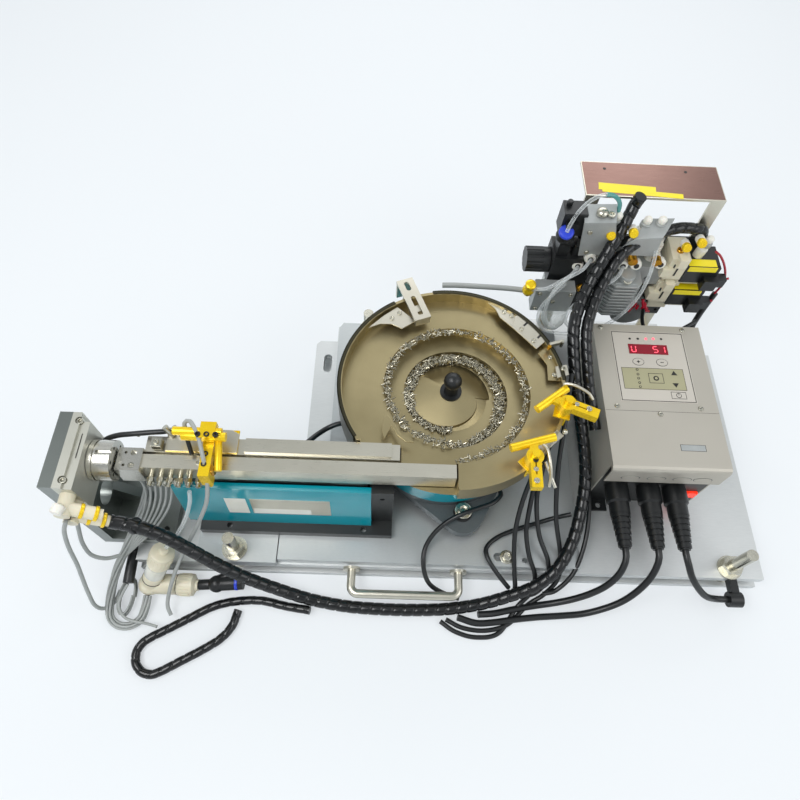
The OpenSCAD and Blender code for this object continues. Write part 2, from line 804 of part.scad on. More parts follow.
// Sensor plate on the rear rail with the gold clamps that hold the tube over the slot
module track_clamp() {
  z_plate = z_rail_top - back_rail_drop;
  color("silver") block([clamp_x - 43, back_rail_y + 1, z_plate], [clamp_x + 23, back_rail_end + 8, z_plate + 2]);
  color("goldenrod") {
    block([clamp_x - 6, back_rail_y + 6, z_plate + 2], [clamp_x + 6, back_rail_y + 18, z_plate + 18]);
    translate([clamp_x - 32, back_rail_y + 12, z_plate + 22]) bar_x(4, 44);
    block([clamp_x - 7, back_rail_y + 4, z_plate + 18], [clamp_x + 7, back_rail_y + 20, z_plate + 27]);
    block([clamp_x - 5, rail_front - 12, z_plate + 8], [clamp_x + 5, back_rail_y + 6, z_plate + 16]);
    block([clamp_x - 5, rail_front - 12, z_plate - 6], [clamp_x + 5, rail_front - 4, z_plate + 8]);
  }
  color("silver") translate([clamp_x, rail_front - 8, z_plate - 16]) cylinder(r = 2, h = 10);
}

// ---- Indexing head ----

module escapement_column() {
  foot_right = x_left + 40;
  color("gray") difference() {
    union() {
      block([column_left, head_front, z_base], [column_right, head_back, z_head_top]);
      block([column_left, head_front, z_base], [foot_right, head_back, z_base + foot_plate_t]);
      // Gusset in the corner
      translate([column_right, head_back - 20, z_base + foot_plate_t]) rotate([90, 0, 0])
        linear_extrude(10) polygon([[0, 0], [34, 0], [0, 34]]);
    }
    for (y = [head_front + 12, head_back - 12]) translate([foot_right - 10, y, z_base - 1])
      cylinder(r = 3.3, h = foot_plate_t + 2);
    translate([column_left - 1, head_front + head_w / 2, z_base + 55]) bar_x(14, column_t + 2);
  }
}

module rotary_actuator() {
  z_low = z_head_top - head_h;
  plate_left = head_right - head_plate_t;
  color("silver") difference() {
    union() {
      block([column_right, head_front, z_low], [plate_left, head_back, z_head_top]);
      block([plate_left, head_front, z_low + 4], [head_right, head_back - 8, z_head_top - 3]);
    }
    translate([head_right - rotor_l - 1, track_y, z_disc]) bar_x(rotor_r + run_fit, rotor_l + 2);
    for (y = [head_front + 8, head_back - 8]) translate([column_right + 7, y, z_head_top - 6])
      cylinder(r = 3.5, h = 7);
  }
}

// Banjo elbows with flow screws on the front of the actuator
module actuator_elbows() {
  for (z = elbow_levels) translate([column_right + 8, head_front, z]) {
    color("ivory") {
      rotate([180, 0, 0]) bar_y(6.5, 20);
      translate([0, -12, 0]) rotate([0, 30, 0]) bar_x(6, elbow_l - 5);
    }
    color("gold") translate([0, -12, 0]) rotate([0, 30, 0]) translate([elbow_l - 5, 0, 0]) bar_x(5, 5);
  }
}

// Three-ring disc with pick-up notches, on the actuator's rotor
module index_disc() {
  x0 = head_right + move_gap;
  color("lightgray") difference() {
    union() {
      translate([head_right - rotor_l, track_y, z_disc]) bar_x(rotor_r, rotor_l + 1);
      translate([x0, track_y, z_disc]) bar_x(disc_r, 4);
      translate([x0 + 4, track_y, z_disc]) bar_x(disc_r - 2, 1.5);
      translate([x0 + 5.5, track_y, z_disc]) bar_x(disc_r, disc_t - 5.5);
    }
    for (i = [0 : 5]) translate([x0 + 6, track_y, z_disc]) rotate([i * 60 + 30, 0, 0])
      translate([0, 0, disc_r - 5]) bar_x(1.6, disc_t);
    for (i = [0 : 1]) translate([x0 + 7, track_y, z_disc]) rotate([i * 180, 0, 0])
      block([0, -2, disc_r - 3], [disc_t, 2, disc_r + 1]);
  }
}

// ---- Controller ----

module controller_case() {
  z_top = z_ctrl_top - cover_skin;
  color("dimgray") difference() {
    union() {
      block([ctrl_left + cover_skin, ctrl_front, z_base], [ctrl_right - cover_skin, ctrl_back, z_top]);
      for (x = [ctrl_left + 6, ctrl_right - 24]) block([x, ctrl_front - 14, z_base], [x + 18, ctrl_front, z_base + 3]);
    }
    block([ctrl_left + cover_skin + ctrl_wall, ctrl_front + ctrl_wall, z_base + ctrl_wall],
      [ctrl_right - cover_skin - ctrl_wall, ctrl_back - ctrl_wall, z_top + 1]);
    for (x = socket_places) translate([x, ctrl_front - 1, z_socket]) bar_y(socket_r - 3 + bolt_fit, ctrl_wall + 2);
    block([rocker_at - rocker_w / 2 - move_gap, ctrl_front - 1, z_rocker - rocker_h / 2 - move_gap],
      [rocker_at + rocker_w / 2 + move_gap, ctrl_front + ctrl_wall + 1, z_rocker + rocker_h / 2 + move_gap]);
    for (x = [ctrl_left + 15, ctrl_right - 15]) translate([x, ctrl_front - 8, z_base - 1]) cylinder(r = 3, h = 5);
  }
}

// Folded cover: top and both sides
module controller_cover() {
  z_low = z_base + 4;
  color("tan") difference() {
    block([ctrl_left, ctrl_front, z_low], [ctrl_right, ctrl_back, z_ctrl_top]);
    block([ctrl_left + cover_skin, ctrl_front - 1, z_low - 1],
      [ctrl_right - cover_skin, ctrl_back + 1, z_ctrl_top - cover_skin]);
  }
}

module controller_board() {
  z_board = z_base + ctrl_wall + 8;
  x0 = ctrl_left + 14;
  x1 = ctrl_right - 14;
  color("green") block([x0, ctrl_front + 30, z_board], [x1, ctrl_back - 14, z_board + 1.6]);
  color("gray") for (x = [x0 + 5, x1 - 5], y = [ctrl_front + 36, ctrl_back - 20])
    translate([x, y, z_base + ctrl_wall]) cylinder(r = 3, h = 8);
  color("black") {
    block([x0 + 8, ctrl_back - 70, z_board + 1.6], [x0 + 44, ctrl_back - 28, z_board + 32]);
    block([x1 - 34, ctrl_back - 74, z_board + 1.6], [x1 - 8, ctrl_back - 30, z_board + 40]);
    for (y = [0, 22]) translate([x0 + 26, ctrl_front + 52 + y, z_board + 1.6]) cylinder(r = 9, h = 30);
  }
}

module controller_sockets() {
  color("darkslategray") for (x = socket_places) translate([x, ctrl_front, z_socket]) difference() {
    union() {
      translate([0, -flange_t, 0]) bar_y(socket_r, flange_t);
      bar_y(socket_r - 3, ctrl_wall + 10);
    }
    translate([0, ctrl_wall, 0]) bar_y(socket_r - 5, 12);
  }
}

gland_at = [x_right - 42, y_front - 21, z_base - upper_t / 2];
gland_l = 14;

// Screw-on plugs with ribbed strain reliefs, and the gland at the base's front edge
module cable_plugs() {
  color("black") for (x = socket_places) translate([x, ctrl_front - flange_t, z_socket]) rotate([90, 0, 0])
    rotate_extrude() polygon(plug_profile());
  color("silver") {
    translate(gland_at) bar_x(8, gland_l);
    block([gland_at[0] + 4, gland_at[1], z_upper], [gland_at[0] + 12, y_front, z_base]);
  }
}

function plug_profile() = concat([[0, 0], [plug_r, 0], [plug_r, 16], [plug_r - 2, 18], [plug_r - 2, 30]],
  [for (i = [0 : 5]) each [[plug_r - 2.5 - i * 0.6, 30 + i * 6], [plug_r - 2.5 - i * 0.6, 34 + i * 6],
    [plug_r - 4 - i * 0.6, 34 + i * 6], [plug_r - 4 - i * 0.6, 36 + i * 6]]], [[0, plug_l]]);

rocker_tip = 4;

// Rocker, pressed in at its left end when it's on
module rocker_switch() {
  color("red") translate([rocker_at, ctrl_front, z_rocker]) rotate([0, 0, 7])
    translate([0, 0, -rocker_h / 2]) linear_extrude(rocker_h) polygon([[-rocker_w / 2 + 0.4, 0],
      [-rocker_w / 2 + 0.6, -rocker_tip], [0, -2], [rocker_w / 2 - 0.6, -rocker_tip],
      [rocker_w / 2 - 0.4, 0], [3, 8], [-3, 8]]);
  color("red") translate([rocker_at, ctrl_front, z_rocker - rocker_h / 2 - 0.3]) cylinder(r = 3, h = rocker_h + 0.6);
}

// ---- Air service unit ----

module handle_bracket() {
  color("rosybrown") difference() {
    union() {
      block([bracket_left, leg_front, z_bracket - bracket_t], [bracket_right, leg_front + bracket_d, z_bracket]);
      for (x = [bracket_left, bracket_right - leg_w]) {
        block([x, leg_front, z_base], [x + leg_w, leg_back, z_bracket]);
        block([x, leg_front - 18, z_base], [x + leg_w, leg_back, z_base + bracket_t]);
      }
    }
    for (x = [bracket_left + 20, bracket_right - 34]) translate([x, leg_front + bracket_d - 12, z_bracket - 5])
      cylinder(r = 1.8, h = 6);
    for (x = [bracket_left + leg_w / 2, bracket_right - leg_w / 2])
      translate([x, leg_front - 10, z_base - 1]) cylinder(r = 2.8, h = 5);
  }
}

module pneumatic_panel() {
  color("lightgray") difference() {
    block([bracket_left - 12, panel_front, z_panel], [bracket_right, leg_front, z_panel_top]);
    for (x = [bracket_left + 5, bracket_right - 5], z = [z_panel + 8, z_panel_top - 8])
      translate([x, panel_front - 1, z]) bar_y(2.2, panel_t + 2);
  }
}

module valve_manifold() {
  color("silver") difference() {
    block([manifold_left, panel_front - manifold_d, z_manifold], [manifold_right, panel_front, z_manifold + manifold_h]);
    for (x = ports) translate([x, panel_front - 14, z_manifold + manifold_h - 8]) cylinder(r = 4.5, h = 9);
    for (i = [0 : 3]) translate([manifold_left + 12 + i * 17, panel_front - manifold_d - 1, z_manifold + 9])
      bar_y(3.5, 9);
  }
}

module solenoid_valves() {
  for (z = valve_levels) {
    color("ivory") block([valve_left, panel_front - valve_d, z - 11], [valve_right, panel_front, z + 11]);
    color("black") block([valve_right, panel_front - valve_d + 3, z - 10], [coil_right, panel_front - 4, z + 10]);
  }
}

// White flow controls standing on the manifold
module speed_controllers() {
  color("white") for (x = ports) translate([x, panel_front - 14, z_manifold + manifold_h]) difference() {
    union() {
      cylinder(r = 6.5, h = 22);
      translate([0, 0, 22]) cylinder(r = 4.5, h = 9);
      translate([0, 0, 12]) rotate([180, 0, 0]) bar_y(5.5, 12);
    }
    translate([0, -13, 12]) bar_y(2 + run_fit, 9);
  }
}

module speed_knob(i) {
  color("gold") translate([ports[i], panel_front - 26, z_manifold + manifold_h + 12]) {
    rotate([180, 0, 0]) translate([0, 0.4, 0]) bar_y(5, 7);
    translate([0, -1, 0]) bar_y(2, 8);
  }
}

module speed_knob_1() {
  speed_knob(0);
}

module speed_knob_2() {
  speed_knob(1);
}

module speed_knob_3() {
  speed_knob(2);
}

// Regulator body with the pressure switch on top of it
module regulator_body() {
  color("dimgray") translate([regulator_x, regulator_y, z_regulator]) {
    difference() {
      block([-16, -16, -20], [16, 16, 20]);
      translate([-17, 0, 0]) bar_x(5 + run_fit, 12);
    }
    block([-14, -12, 20], [-2, 6, 66]);
    translate([8, -6, 20]) cylinder(r = 6, h = 14);
  }
}

module regulator_knob() {
  color("black") translate([regulator_x - 16 - move_gap, regulator_y, z_regulator]) difference() {
    union() {
      rotate([0, 180, 0]) bar_x(14, 26);
      bar_x(5, 10);
    }
    for (i = [0 : 11]) rotate([i * 30, 0, 0]) translate([-27, 0, 15]) bar_x(2, 20);
  }
}

// Clear bowl under the regulator
module filter_bowl() {
  z_top = z_regulator - 20;
  color("white", 0.5) translate([regulator_x, regulator_y, z_top - 48]) rotate_extrude()
    polygon([[0, 0], [9, 0], [13, 5], [15, 12], [15, 48], [13, 48], [13, 13], [11, 6], [8, 2], [0, 2]]);
}

silencer_x = 204;
silencer_r = 21;

// Finned silencer on the panel
module silencer() {
  l = 38;
  color("darkgray") translate([silencer_x, panel_front - l, z_base + 80]) {
    bar_y(silencer_r - 7, l);
    for (i = [0 : 6]) translate([0, 1 + i * 5, 0]) bar_y(silencer_r, 2.6);
  }
}

// ---- Cords ----

// A tube swept along a list of points, with its ends square to them
function unit(v) = v / norm(v);
function heading(p, i) = unit(p[min(i + 1, len(p) - 1)] - p[max(i - 1, 0)]);
function sideways(t) = unit(abs(t[2]) > 0.9 ? cross(t, [1, 0, 0]) : cross(t, [0, 0, 1]));
function ring_of(p, i, r, n) =
  let (t = heading(p, i), u = sideways(t), v = cross(t, u))
  [for (k = [0 : n - 1]) p[i] + r * (cos(k * 360 / n) * u + sin(k * 360 / n) * v)];

module tube(p, r, n) {
  last = len(p) - 1;
  points = [for (i = [0 : last]) each ring_of(p, i, r, n)];
  sides = [for (i = [0 : last - 1], k = [0 : n - 1])
    each let (a = i * n, b = (k + 1) % n) [[a + k, a + b, a + n + b], [a + k, a + n + b, a + n + k]]];
  ends = [[for (k = [n - 1 : -1 : 0]) k], [for (k = [0 : n - 1]) last * n + k]];
  polyhedron(points = points, faces = concat(sides, ends));
}

// A round bar between two points
module rod_between(a, b, r) {
  v = b - a;
  translate(a) rotate([0, acos(v[2] / norm(v)), atan2(v[1], v[0])]) cylinder(r = r, h = norm(v));
}

filter_joint = [-321, -188, 12];

// Two in-line vacuum filters on one elbow, lying on the table in front of the base
module inline_filters() {
  lean = [24, 20, 52];
  color("ivory") {
    translate(filter_joint) sphere(r = 12);
    rod_between(filter_joint, filter_joint + lean, 10.5);
    rod_between(filter_joint + 0.7 * lean, filter_joint + lean, 12);
    rod_between(filter_joint, filter_joint + [44, 0, 0], 10.5);
    rod_between(filter_joint + [30, 0, 0], filter_joint + [46, 0, 0], 11.4);
  }
}

harness_r = 6.5;
branch_r = 6;
plug_cable_r = 3.5;
lead_r = 2.5;
loop_r = 4.5;
hose_r = 3;
plug_end_y = ctrl_front - flange_t - plug_l;
elbow_end = [column_right + 8 + elbow_l * cos(30), head_front - 12, elbow_levels[1] - elbow_l * sin(30)];

harness_points = [[170.5, 156.3, 254.5], [168.5, 156.3, 245], [164, 149, 236], [156.7, 136, 225],
  [144.4, 118, 207], [131.6, 98, 187], [121, 76, 177.5], [114.8, 50, 167], [117.5, 15, 147],
  [123, -10, 129], [129, -35, 113], [134, -62, 97], [135, -88, 82], [129, -122, 66], [120, -147, 56],
  [105, -169.5, 48], [85, -183.5, 35.5], [58, -192, 21.5], [28, -199, 11], [-6, -204, 8], [-42, -206, 7.5],
  [-78, -206, 7.5], [-114, -204, 7.5], [-150, -199, 11], [-184, -192, 23], [-214, -186, 43],
  [-240, -179, 66], [-264, -171, 91], [-284, -165, 112], [-304, -161.5, 126.5],
  [elbow_end[0] + 8.7, elbow_end[1], elbow_end[2] - 5], [elbow_end[0], elbow_end[1], elbow_end[2]]];
branch_points = [[256, 156.8, 203], [252, 156, 212], [240.5, 152, 218], [223.5, 149, 221],
  [206, 145, 219], [190.4, 139, 216.5], [173.2, 130.5, 211], [158, 118, 202.5], [145.6, 98, 188],
  [135.4, 76, 178.5], [128.2, 50, 168], [131, 15, 148], [136.5, -10, 130.5], [142.3, -38, 115.5]];
loop_points = [[-150, -209.9, 9], [-176, -206, 7], [-202, -201, 6], [-228, -202, 5], [-252, -208, 5],
  [-276, -221, 5], [-296, -232.3, 5], [-314, -242.5, 5], [-321.5, -250.6, 5], [-323.1, -259.8, 5],
  [-319.9, -268.5, 5], [-312.8, -274.5, 5], [-303.6, -276.1, 5], [-294, -272.5, 5], [-276, -262.4, 5],
  [-256, -251, 5], [-240, -240, 5], [-230, -227, 5], [-226, -211.2, 5]];
left_points = [[socket_places[0], plug_end_y, z_socket], [socket_places[0], plug_end_y - 4, z_socket],
  [172, -163, 69], [167, -174, 60],
  [157, -183, 47], [143, -189, 34], [126, -193, 22], [108, -195.5, 13], [88, -198, 8], [66, -202, 6],
  [46, -206.5, 6], [28, -208.7, 8.2]];
middle_points = [[socket_places[1], plug_end_y, z_socket], [socket_places[1], plug_end_y - 4, z_socket],
  [206, -163, 68], [201, -175, 57],
  [191, -186, 43], [177, -195, 29], [159, -201, 17], [139, -205, 9], [116, -207, 5.5], [92, -209, 5],
  [68, -212, 5], [46, -215.5, 5], [26, -217, 5.5], [6, -212.2, 8]];
right_points = [[socket_places[2], plug_end_y, z_socket], [socket_places[2], plug_end_y - 4, z_socket],
  [236.5, -164, 69], [242, -175, 60], [252, -183, 48],
  [264, -188, 36], [278, -188, 25],
  [gland_at[0] - 4, gland_at[1], gland_at[2]], [gland_at[0], gland_at[1], gland_at[2]]];
bowl_lead_points = [[46, -89, 68], [47, -98, 73], [38, -108, 76], [24, -114, 77], [8, -120, 76],
  [-8, -127, 70], [-22, -137, 60], [-31, -150, 50], [-33, -163, 45], [-31, -174, 37], [-26, -181, 26],
  [-18, -185, 16], [-6, -189, 10], [8, -192.8, 8.6]];
track_lead_points = [[124, -112, 60], [108, -114, 52], [88, -119, 46], [66, -126, 43.5],
  [46, -135, 43], [34, -147, 43], [36, -160, 44], [46, -173, 38], [59, -183.3, 24.7]];
sensor_points = [[-308, -110, 137.4], [-308, -110, 132], [-308, -111.5, 122], [-310, -117, 107], [-318, -128, 86],
  [-330, -142, 64], [-342, -158, 44], [-354, -176, 25], [-360, -195, 12], [-360.5, -212, 6],
  [-356.9, -223.2, 4.6], [-347.4, -230, 4.6], [-335.6, -230, 4.6], [-326.1, -223.2, 5],
  [-322.5, -212, 8], [-321.5, -200.3, 11]];
hose_points = [[-103.1, -18, 68], [-107, -18, 68], [-117, -16, 66], [-130, -14, 60], [-143, -18, 56], [-155, -28, 57],
  [-165, -42, 64], [-174, -56, 78], [-181, -66, 94],
  [-183, -74, 105], [-183, -78.9, 105]];

module harness() {
  color("black") tube(harness_points, harness_r, 12);
}

module harness_branch() {
  color("black") tube(branch_points, branch_r, 12);
}

module harness_loop() {
  color("black") tube(loop_points, loop_r, 12);
}

module plug_cable_left() {
  color("black") tube(left_points, plug_cable_r, 8);
}

module plug_cable_middle() {
  color("black") tube(middle_points, plug_cable_r, 8);
}

module plug_cable_right() {
  color("black") tube(right_points, plug_cable_r, 8);
}

module bowl_cable() {
  color("black") tube(bowl_lead_points, lead_r, 8);
}

module track_cable() {
  color("black") tube(track_lead_points, lead_r, 8);
}

module sensor_cables() {
  color("gray") tube(sensor_points, loop_r, 12);
}

module rail_hoses() {
  color("black") tube(hose_points, hose_r, 8);
}

lower_plate();
upper_plate();
clamp_studs();
clamp_hardware();
deck_plates();
front_handle();
rubber_feet();
drive_base();
drive_skirt();
spring_packs();
drive_magnets();
drive_top();
bowl();
bowl_knob();
bowl_wipers();
bowl_bracket();
jet_posts();
jet_arm_1();
jet_arm_2();
feeder_base();
feeder_cover();
feeder_end();
feeder_top_bar();
track_rails();
track_end_block();
track_jets();
track_clamp();
escapement_column();
rotary_actuator();
actuator_elbows();
index_disc();
controller_case();
controller_cover();
controller_board();
controller_sockets();
cable_plugs();
rocker_switch();
handle_bracket();
pneumatic_panel();
valve_manifold();
solenoid_valves();
speed_controllers();
speed_knob_1();
speed_knob_2();
speed_knob_3();
regulator_body();
regulator_knob();
filter_bowl();
silencer();
inline_filters();
harness();
harness_branch();
harness_loop();
plug_cable_left();
plug_cable_middle();
plug_cable_right();
bowl_cable();
track_cable();
sensor_cables();
rail_hoses();
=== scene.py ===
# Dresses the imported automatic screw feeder: finishes, cords, small parts, loose screws and lights.
import math
import random

import bmesh
import bpy
from mathutils import Matrix, Vector


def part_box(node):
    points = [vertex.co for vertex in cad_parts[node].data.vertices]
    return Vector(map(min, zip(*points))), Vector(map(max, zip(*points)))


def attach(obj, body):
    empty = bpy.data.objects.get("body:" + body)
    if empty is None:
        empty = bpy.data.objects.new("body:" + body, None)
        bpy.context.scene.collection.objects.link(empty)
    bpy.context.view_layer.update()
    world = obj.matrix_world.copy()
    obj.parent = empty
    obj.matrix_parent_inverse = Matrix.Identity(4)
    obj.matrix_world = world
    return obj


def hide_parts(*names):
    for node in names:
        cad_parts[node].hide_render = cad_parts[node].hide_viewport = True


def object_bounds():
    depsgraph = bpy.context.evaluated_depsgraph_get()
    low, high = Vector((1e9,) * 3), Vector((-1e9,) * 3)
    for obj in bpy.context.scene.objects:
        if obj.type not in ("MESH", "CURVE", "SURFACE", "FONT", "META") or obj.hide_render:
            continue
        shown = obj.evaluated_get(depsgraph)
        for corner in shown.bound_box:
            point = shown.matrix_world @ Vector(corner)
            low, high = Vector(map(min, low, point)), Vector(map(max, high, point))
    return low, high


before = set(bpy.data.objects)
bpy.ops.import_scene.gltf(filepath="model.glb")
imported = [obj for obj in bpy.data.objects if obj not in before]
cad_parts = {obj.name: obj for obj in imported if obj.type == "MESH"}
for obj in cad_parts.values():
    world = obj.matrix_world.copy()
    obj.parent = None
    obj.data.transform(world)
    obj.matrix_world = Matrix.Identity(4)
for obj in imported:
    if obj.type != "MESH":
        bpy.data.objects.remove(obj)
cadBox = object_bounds()
print("frame loaded")

scene = bpy.context.scene
milli = 0.001

# where the camera stands in mm, how far it looks down, turns and leans in degrees
cameraSet = {"at": (-76.9, -338.9, 709.9), "down": 61.105, "turn": 2.367, "roll": 4.222, "lens": 28.75}


def addCamera(c):
    down, turn, roll = (math.radians(c[k]) for k in ("down", "turn", "roll"))
    ahead = Vector((math.sin(turn) * math.cos(down), math.cos(turn) * math.cos(down), -math.sin(down)))
    right = Vector((math.cos(turn), -math.sin(turn), 0))
    up = right.cross(ahead)
    side = math.cos(roll) * right + math.sin(roll) * up
    top = -math.sin(roll) * right + math.cos(roll) * up
    data = bpy.data.cameras.new("camera")
    data.lens = c["lens"]
    data.sensor_width = 36
    data.clip_start = 0.01
    obj = bpy.data.objects.new("camera", data)
    scene.collection.objects.link(obj)
    turned = Matrix((side, top, -ahead)).transposed().to_4x4()
    obj.matrix_world = Matrix.Translation(Vector(c["at"]) * milli) @ turned
    scene.camera = obj


addCamera(cameraSet)


def hexColour(text):
    # sRGB hex to linear, the form the shaders take
    parts = [int(text[i:i + 2], 16) / 255 for i in (1, 3, 5)]
    return tuple(p / 12.92 if p <= 0.04045 else ((p + 0.055) / 1.055) ** 2.4 for p in parts) + (1.0,)


def addNode(tree, kind, settings=None, links=None):
    n = tree.nodes.new(kind)
    for key, value in (settings or {}).items():
        if isinstance(key, str) and hasattr(n, key):
            setattr(n, key, value)
        else:
            n.inputs[key].default_value = value
    for key, source in (links or {}).items():
        tree.links.new(source, n.inputs[key])
    return n


# Each finish: two colours it drifts between, sizes in mm of the slow drift (patch) and of the fine
# grain, the grain's height (bump), and how metallic and rough it is. stretch draws the grain out along
# an axis as brushing does, and without it the grain is even; rings turns it about an upright line, as a
# lathe does.
finishes = {
    # aluminium tooling plate, milled and clear anodised: pale with faint mill marks
    "anodisedPlate": dict(base="#dcdedd", second="#c2c5c5", patch=70, grain=1.2, stretch=(0.15, 1, 1),
                          bump=0.012, metallic=0.55, rough=0.4),
    # the deck's thicker plate, sawn and ground: greyer
    "deckPlate": dict(base="#c6c9c9", second="#a9aeaf", patch=60, grain=1.0, stretch=(0.2, 1, 1),
                      bump=0.012, metallic=0.6, rough=0.36),
    # tool steel, surface ground: fine straight lines along the travel
    "groundSteel": dict(base="#dedacb", second="#c0bcae", patch=30, grain=0.5, stretch=(0.03, 1, 1),
                        bump=0.002, metallic=1.0, rough=0.3),
    # disc and rings, faced on a lathe: shines in bands
    "turnedSteel": dict(base="#dad8d0", second="#b6b4ab", patch=20, grain=0.4, stretch=(1, 0.05, 0.05),
                        bump=0.003, metallic=1.0, rough=0.24),
    # hardened plate, ground and oiled: dark and even
    "oiledSteel": dict(base="#8b908c", second="#747976", patch=50, grain=0.8, stretch=(1, 1, 0.1),
                       bump=0.006, metallic=0.95, rough=0.33),
    # extruded aluminium, brushed: pale lines along the length
    "brushedAluminium": dict(base="#d2d1c6", second="#b8b7ac", patch=30, grain=0.5, stretch=(1, 0.05, 1),
                             bump=0.004, metallic=0.8, rough=0.38),
    # sand cast aluminium, bead blasted: dull and grainy
    "castAluminium": dict(base="#bcbfbe", second="#9fa3a2", patch=12, grain=0.9,
                          bump=0.05, metallic=0.6, rough=0.5),
    # stainless sheet, brushed lengthwise: warm brownish grey that paints in a pinkish-brown reflection, mirrors softly
    "paintedReflectionSheet": dict(base="#8c7068", second="#755a52", patch=45, grain=0.5, stretch=(0.03, 1, 1),
                           bump=0.003, metallic=1.0, rough=0.3),
    # stainless strip, ground bright: pale and cool against the bowl
    "brightStrip": dict(base="#d8d4c6", second="#bdb8a8", patch=30, grain=0.5, stretch=(0.1, 1, 1),
                        bump=0.002, metallic=0.95, rough=0.32),
    # bowl, turned then champagne anodised: soft bands of light round the centre
    "champagneBowl": dict(base="#b8aa84", second="#958966", patch=35, grain=0.7, rings=(-13, -18),
                          bump=0.006, metallic=0.95, rough=0.36, aniso=0.5),
    # the bowl's outside wall and the top of its rim, drawn dark khaki
    "darkBowl": dict(base="#4d4a3a", second="#37352a", patch=25, grain=0.7, rings=(-13, -18),
                     bump=0.006, metallic=0.9, rough=0.38),
    # metallic stove enamel of the controller's cover: fine sparkle, satin
    "metallicEnamel": dict(base="#bfbaaf", second="#b0aba0", patch=80, grain=0.5,
                           bump=0.012, metallic=0.45, rough=0.40),
    # powder coated steel, gloss teal: light orange peel
    "tealPaint": dict(base="#029aab", second="#028593", patch=60, grain=1.6,
                      bump=0.02, metallic=0.0, rough=0.22, coat=0.3),
    # powder coated steel, satin black
    "blackPaint": dict(base="#1c1f1f", second="#141616", patch=50, grain=1.0,
                       bump=0.02, metallic=0.0, rough=0.40),
    # iron casting in hammer grey paint: pale lumps
    "greyCasting": dict(base="#62686a", second="#4b5254", patch=14, grain=1.5,
                        bump=0.05, metallic=0.3, rough=0.45),
    # glass filled nylon, moulded: even black, faintly speckled
    "blackNylon": dict(base="#17191a", second="#0f1112", patch=15, grain=0.6,
                       bump=0.012, metallic=0.0, rough=0.38),
    # polyethylene spiral wrap, extruded: waxy shine in streaks
    "wrapPolyethylene": dict(base="#131516", second="#0b0c0d", patch=8, grain=1.0,
                             bump=0.03, metallic=0.0, rough=0.2),
    # vinyl sheath of cables, extruded: black, slightly matt
    "blackVinyl": dict(base="#1a1c1d", second="#121415", patch=10, grain=0.8,
                       bump=0.012, metallic=0.0, rough=0.34),
    # rubber feet, moulded: matt
    "rubber": dict(base="#222323", second="#191a1a", patch=12, grain=0.7,
                   bump=0.03, metallic=0.0, rough=0.72),
    # aluminium clamps, milled and dyed gold: amber in the shade, yellow in the light
    "goldAnodised": dict(base="#f8dd24", second="#e9b60a", patch=10, grain=0.5,
                         bump=0.008, metallic=0.45, rough=0.27),
    # lacquered brass of fittings and knobs
    "brass": dict(base="#d9a53a", second="#b98626", patch=6, grain=0.4,
                  bump=0.008, metallic=1.0, rough=0.25),
    # zinc plated steel screws and washers: bright, slightly yellow
    "zincPlate": dict(base="#d4d2c6", second="#a8a596", patch=6, grain=0.4,
                      bump=0.01, metallic=1.0, rough=0.25),
    # loose screws, barrel polished: bright over dark gaps
    "polishedScrew": dict(base="#d9d4c2", second="#807b6a", patch=2, grain=0.5,
                          bump=0.01, metallic=1.0, rough=0.20),
    # nylon and acetal mouldings, cream and white: a little light passes in
    "creamNylon": dict(base="#e2dcc6", second="#cec6ad", patch=10, grain=0.7,
                       bump=0.012, metallic=0.0, rough=0.38, soft=0.04),
    "whiteAcetal": dict(base="#ebe9e0", second="#d8d5ca", patch=12, grain=0.7,
                        bump=0.01, metallic=0.0, rough=0.36, soft=0.04),
    # vinyl sheath of the sensor cables, extruded: grey, matt
    "greyVinyl": dict(base="#a9aca9", second="#8c908e", patch=12, grain=0.8,
                      bump=0.012, metallic=0.0, rough=0.42),
    # vinyl of thin leads and ferrules, extruded: red
    "redVinyl": dict(base="#b3122c", second="#8c0c20", patch=5, grain=0.6,
                     bump=0.01, metallic=0.0, rough=0.36),
    # acetal push-in rings, moulded: strong blue
    "blueAcetal": dict(base="#2f4bd8", second="#2238b4", patch=5, grain=0.6,
                       bump=0.008, metallic=0.0, rough=0.30),
    # polyester labels, printed: yellow, khaki, pale grey and black, semi-matt
    "yellowLabel": dict(base="#f3e115", second="#e6d20e", patch=25, grain=0.6,
                        bump=0.006, metallic=0.0, rough=0.38),
    "khakiPanel": dict(base="#aba787", second="#9d9979", patch=25, grain=0.6,
                       bump=0.006, metallic=0.0, rough=0.42),
    "facePanel": dict(base="#cbc5ba", second="#c0bab0", patch=40, grain=0.6,
                      bump=0.006, metallic=0.2, rough=0.38),
    "printBlack": dict(base="#24221f", second="#1a1917", patch=10, grain=0.6,
                       bump=0.004, metallic=0.0, rough=0.44),
    # acrylic window over the display, cast: deep red, glossy
    "displayWindow": dict(base="#96142a", second="#7c0c1e", patch=10, grain=1.0,
                          bump=0.002, metallic=0.0, rough=0.14),
    # fibreglass board under green mask, printed
    "boardMask": dict(base="#1c5a33", second="#164a29", patch=8, grain=0.8,
                      bump=0.01, metallic=0.0, rough=0.34),
    # magnet stacks of stamped iron, varnished: dark with fine layers
    "laminatedIron": dict(base="#4a4a48", second="#383837", patch=6, grain=0.5, stretch=(1, 1, 0.05),
                          bump=0.02, metallic=0.8, rough=0.48),
}
# lit parts: colour and strength
lamps = {"digitRed": ("#ff5060", 2.0), "rockerRed": ("#ff3418", 0.55)}
# clear plastics: polyurethane tube, its teal kind, and the polycarbonate bowl; body is how solid they look
glasses = {
    "clearTube": dict(tint="#e9eeee", rough=0.04, ior=1.5, body=0.14),
    "tealTube": dict(tint="#4a9a96", rough=0.12, ior=1.5, body=0.75),
    "clearBowl": dict(tint="#c9cfcb", rough=0.05, ior=1.58, body=0.30),
}


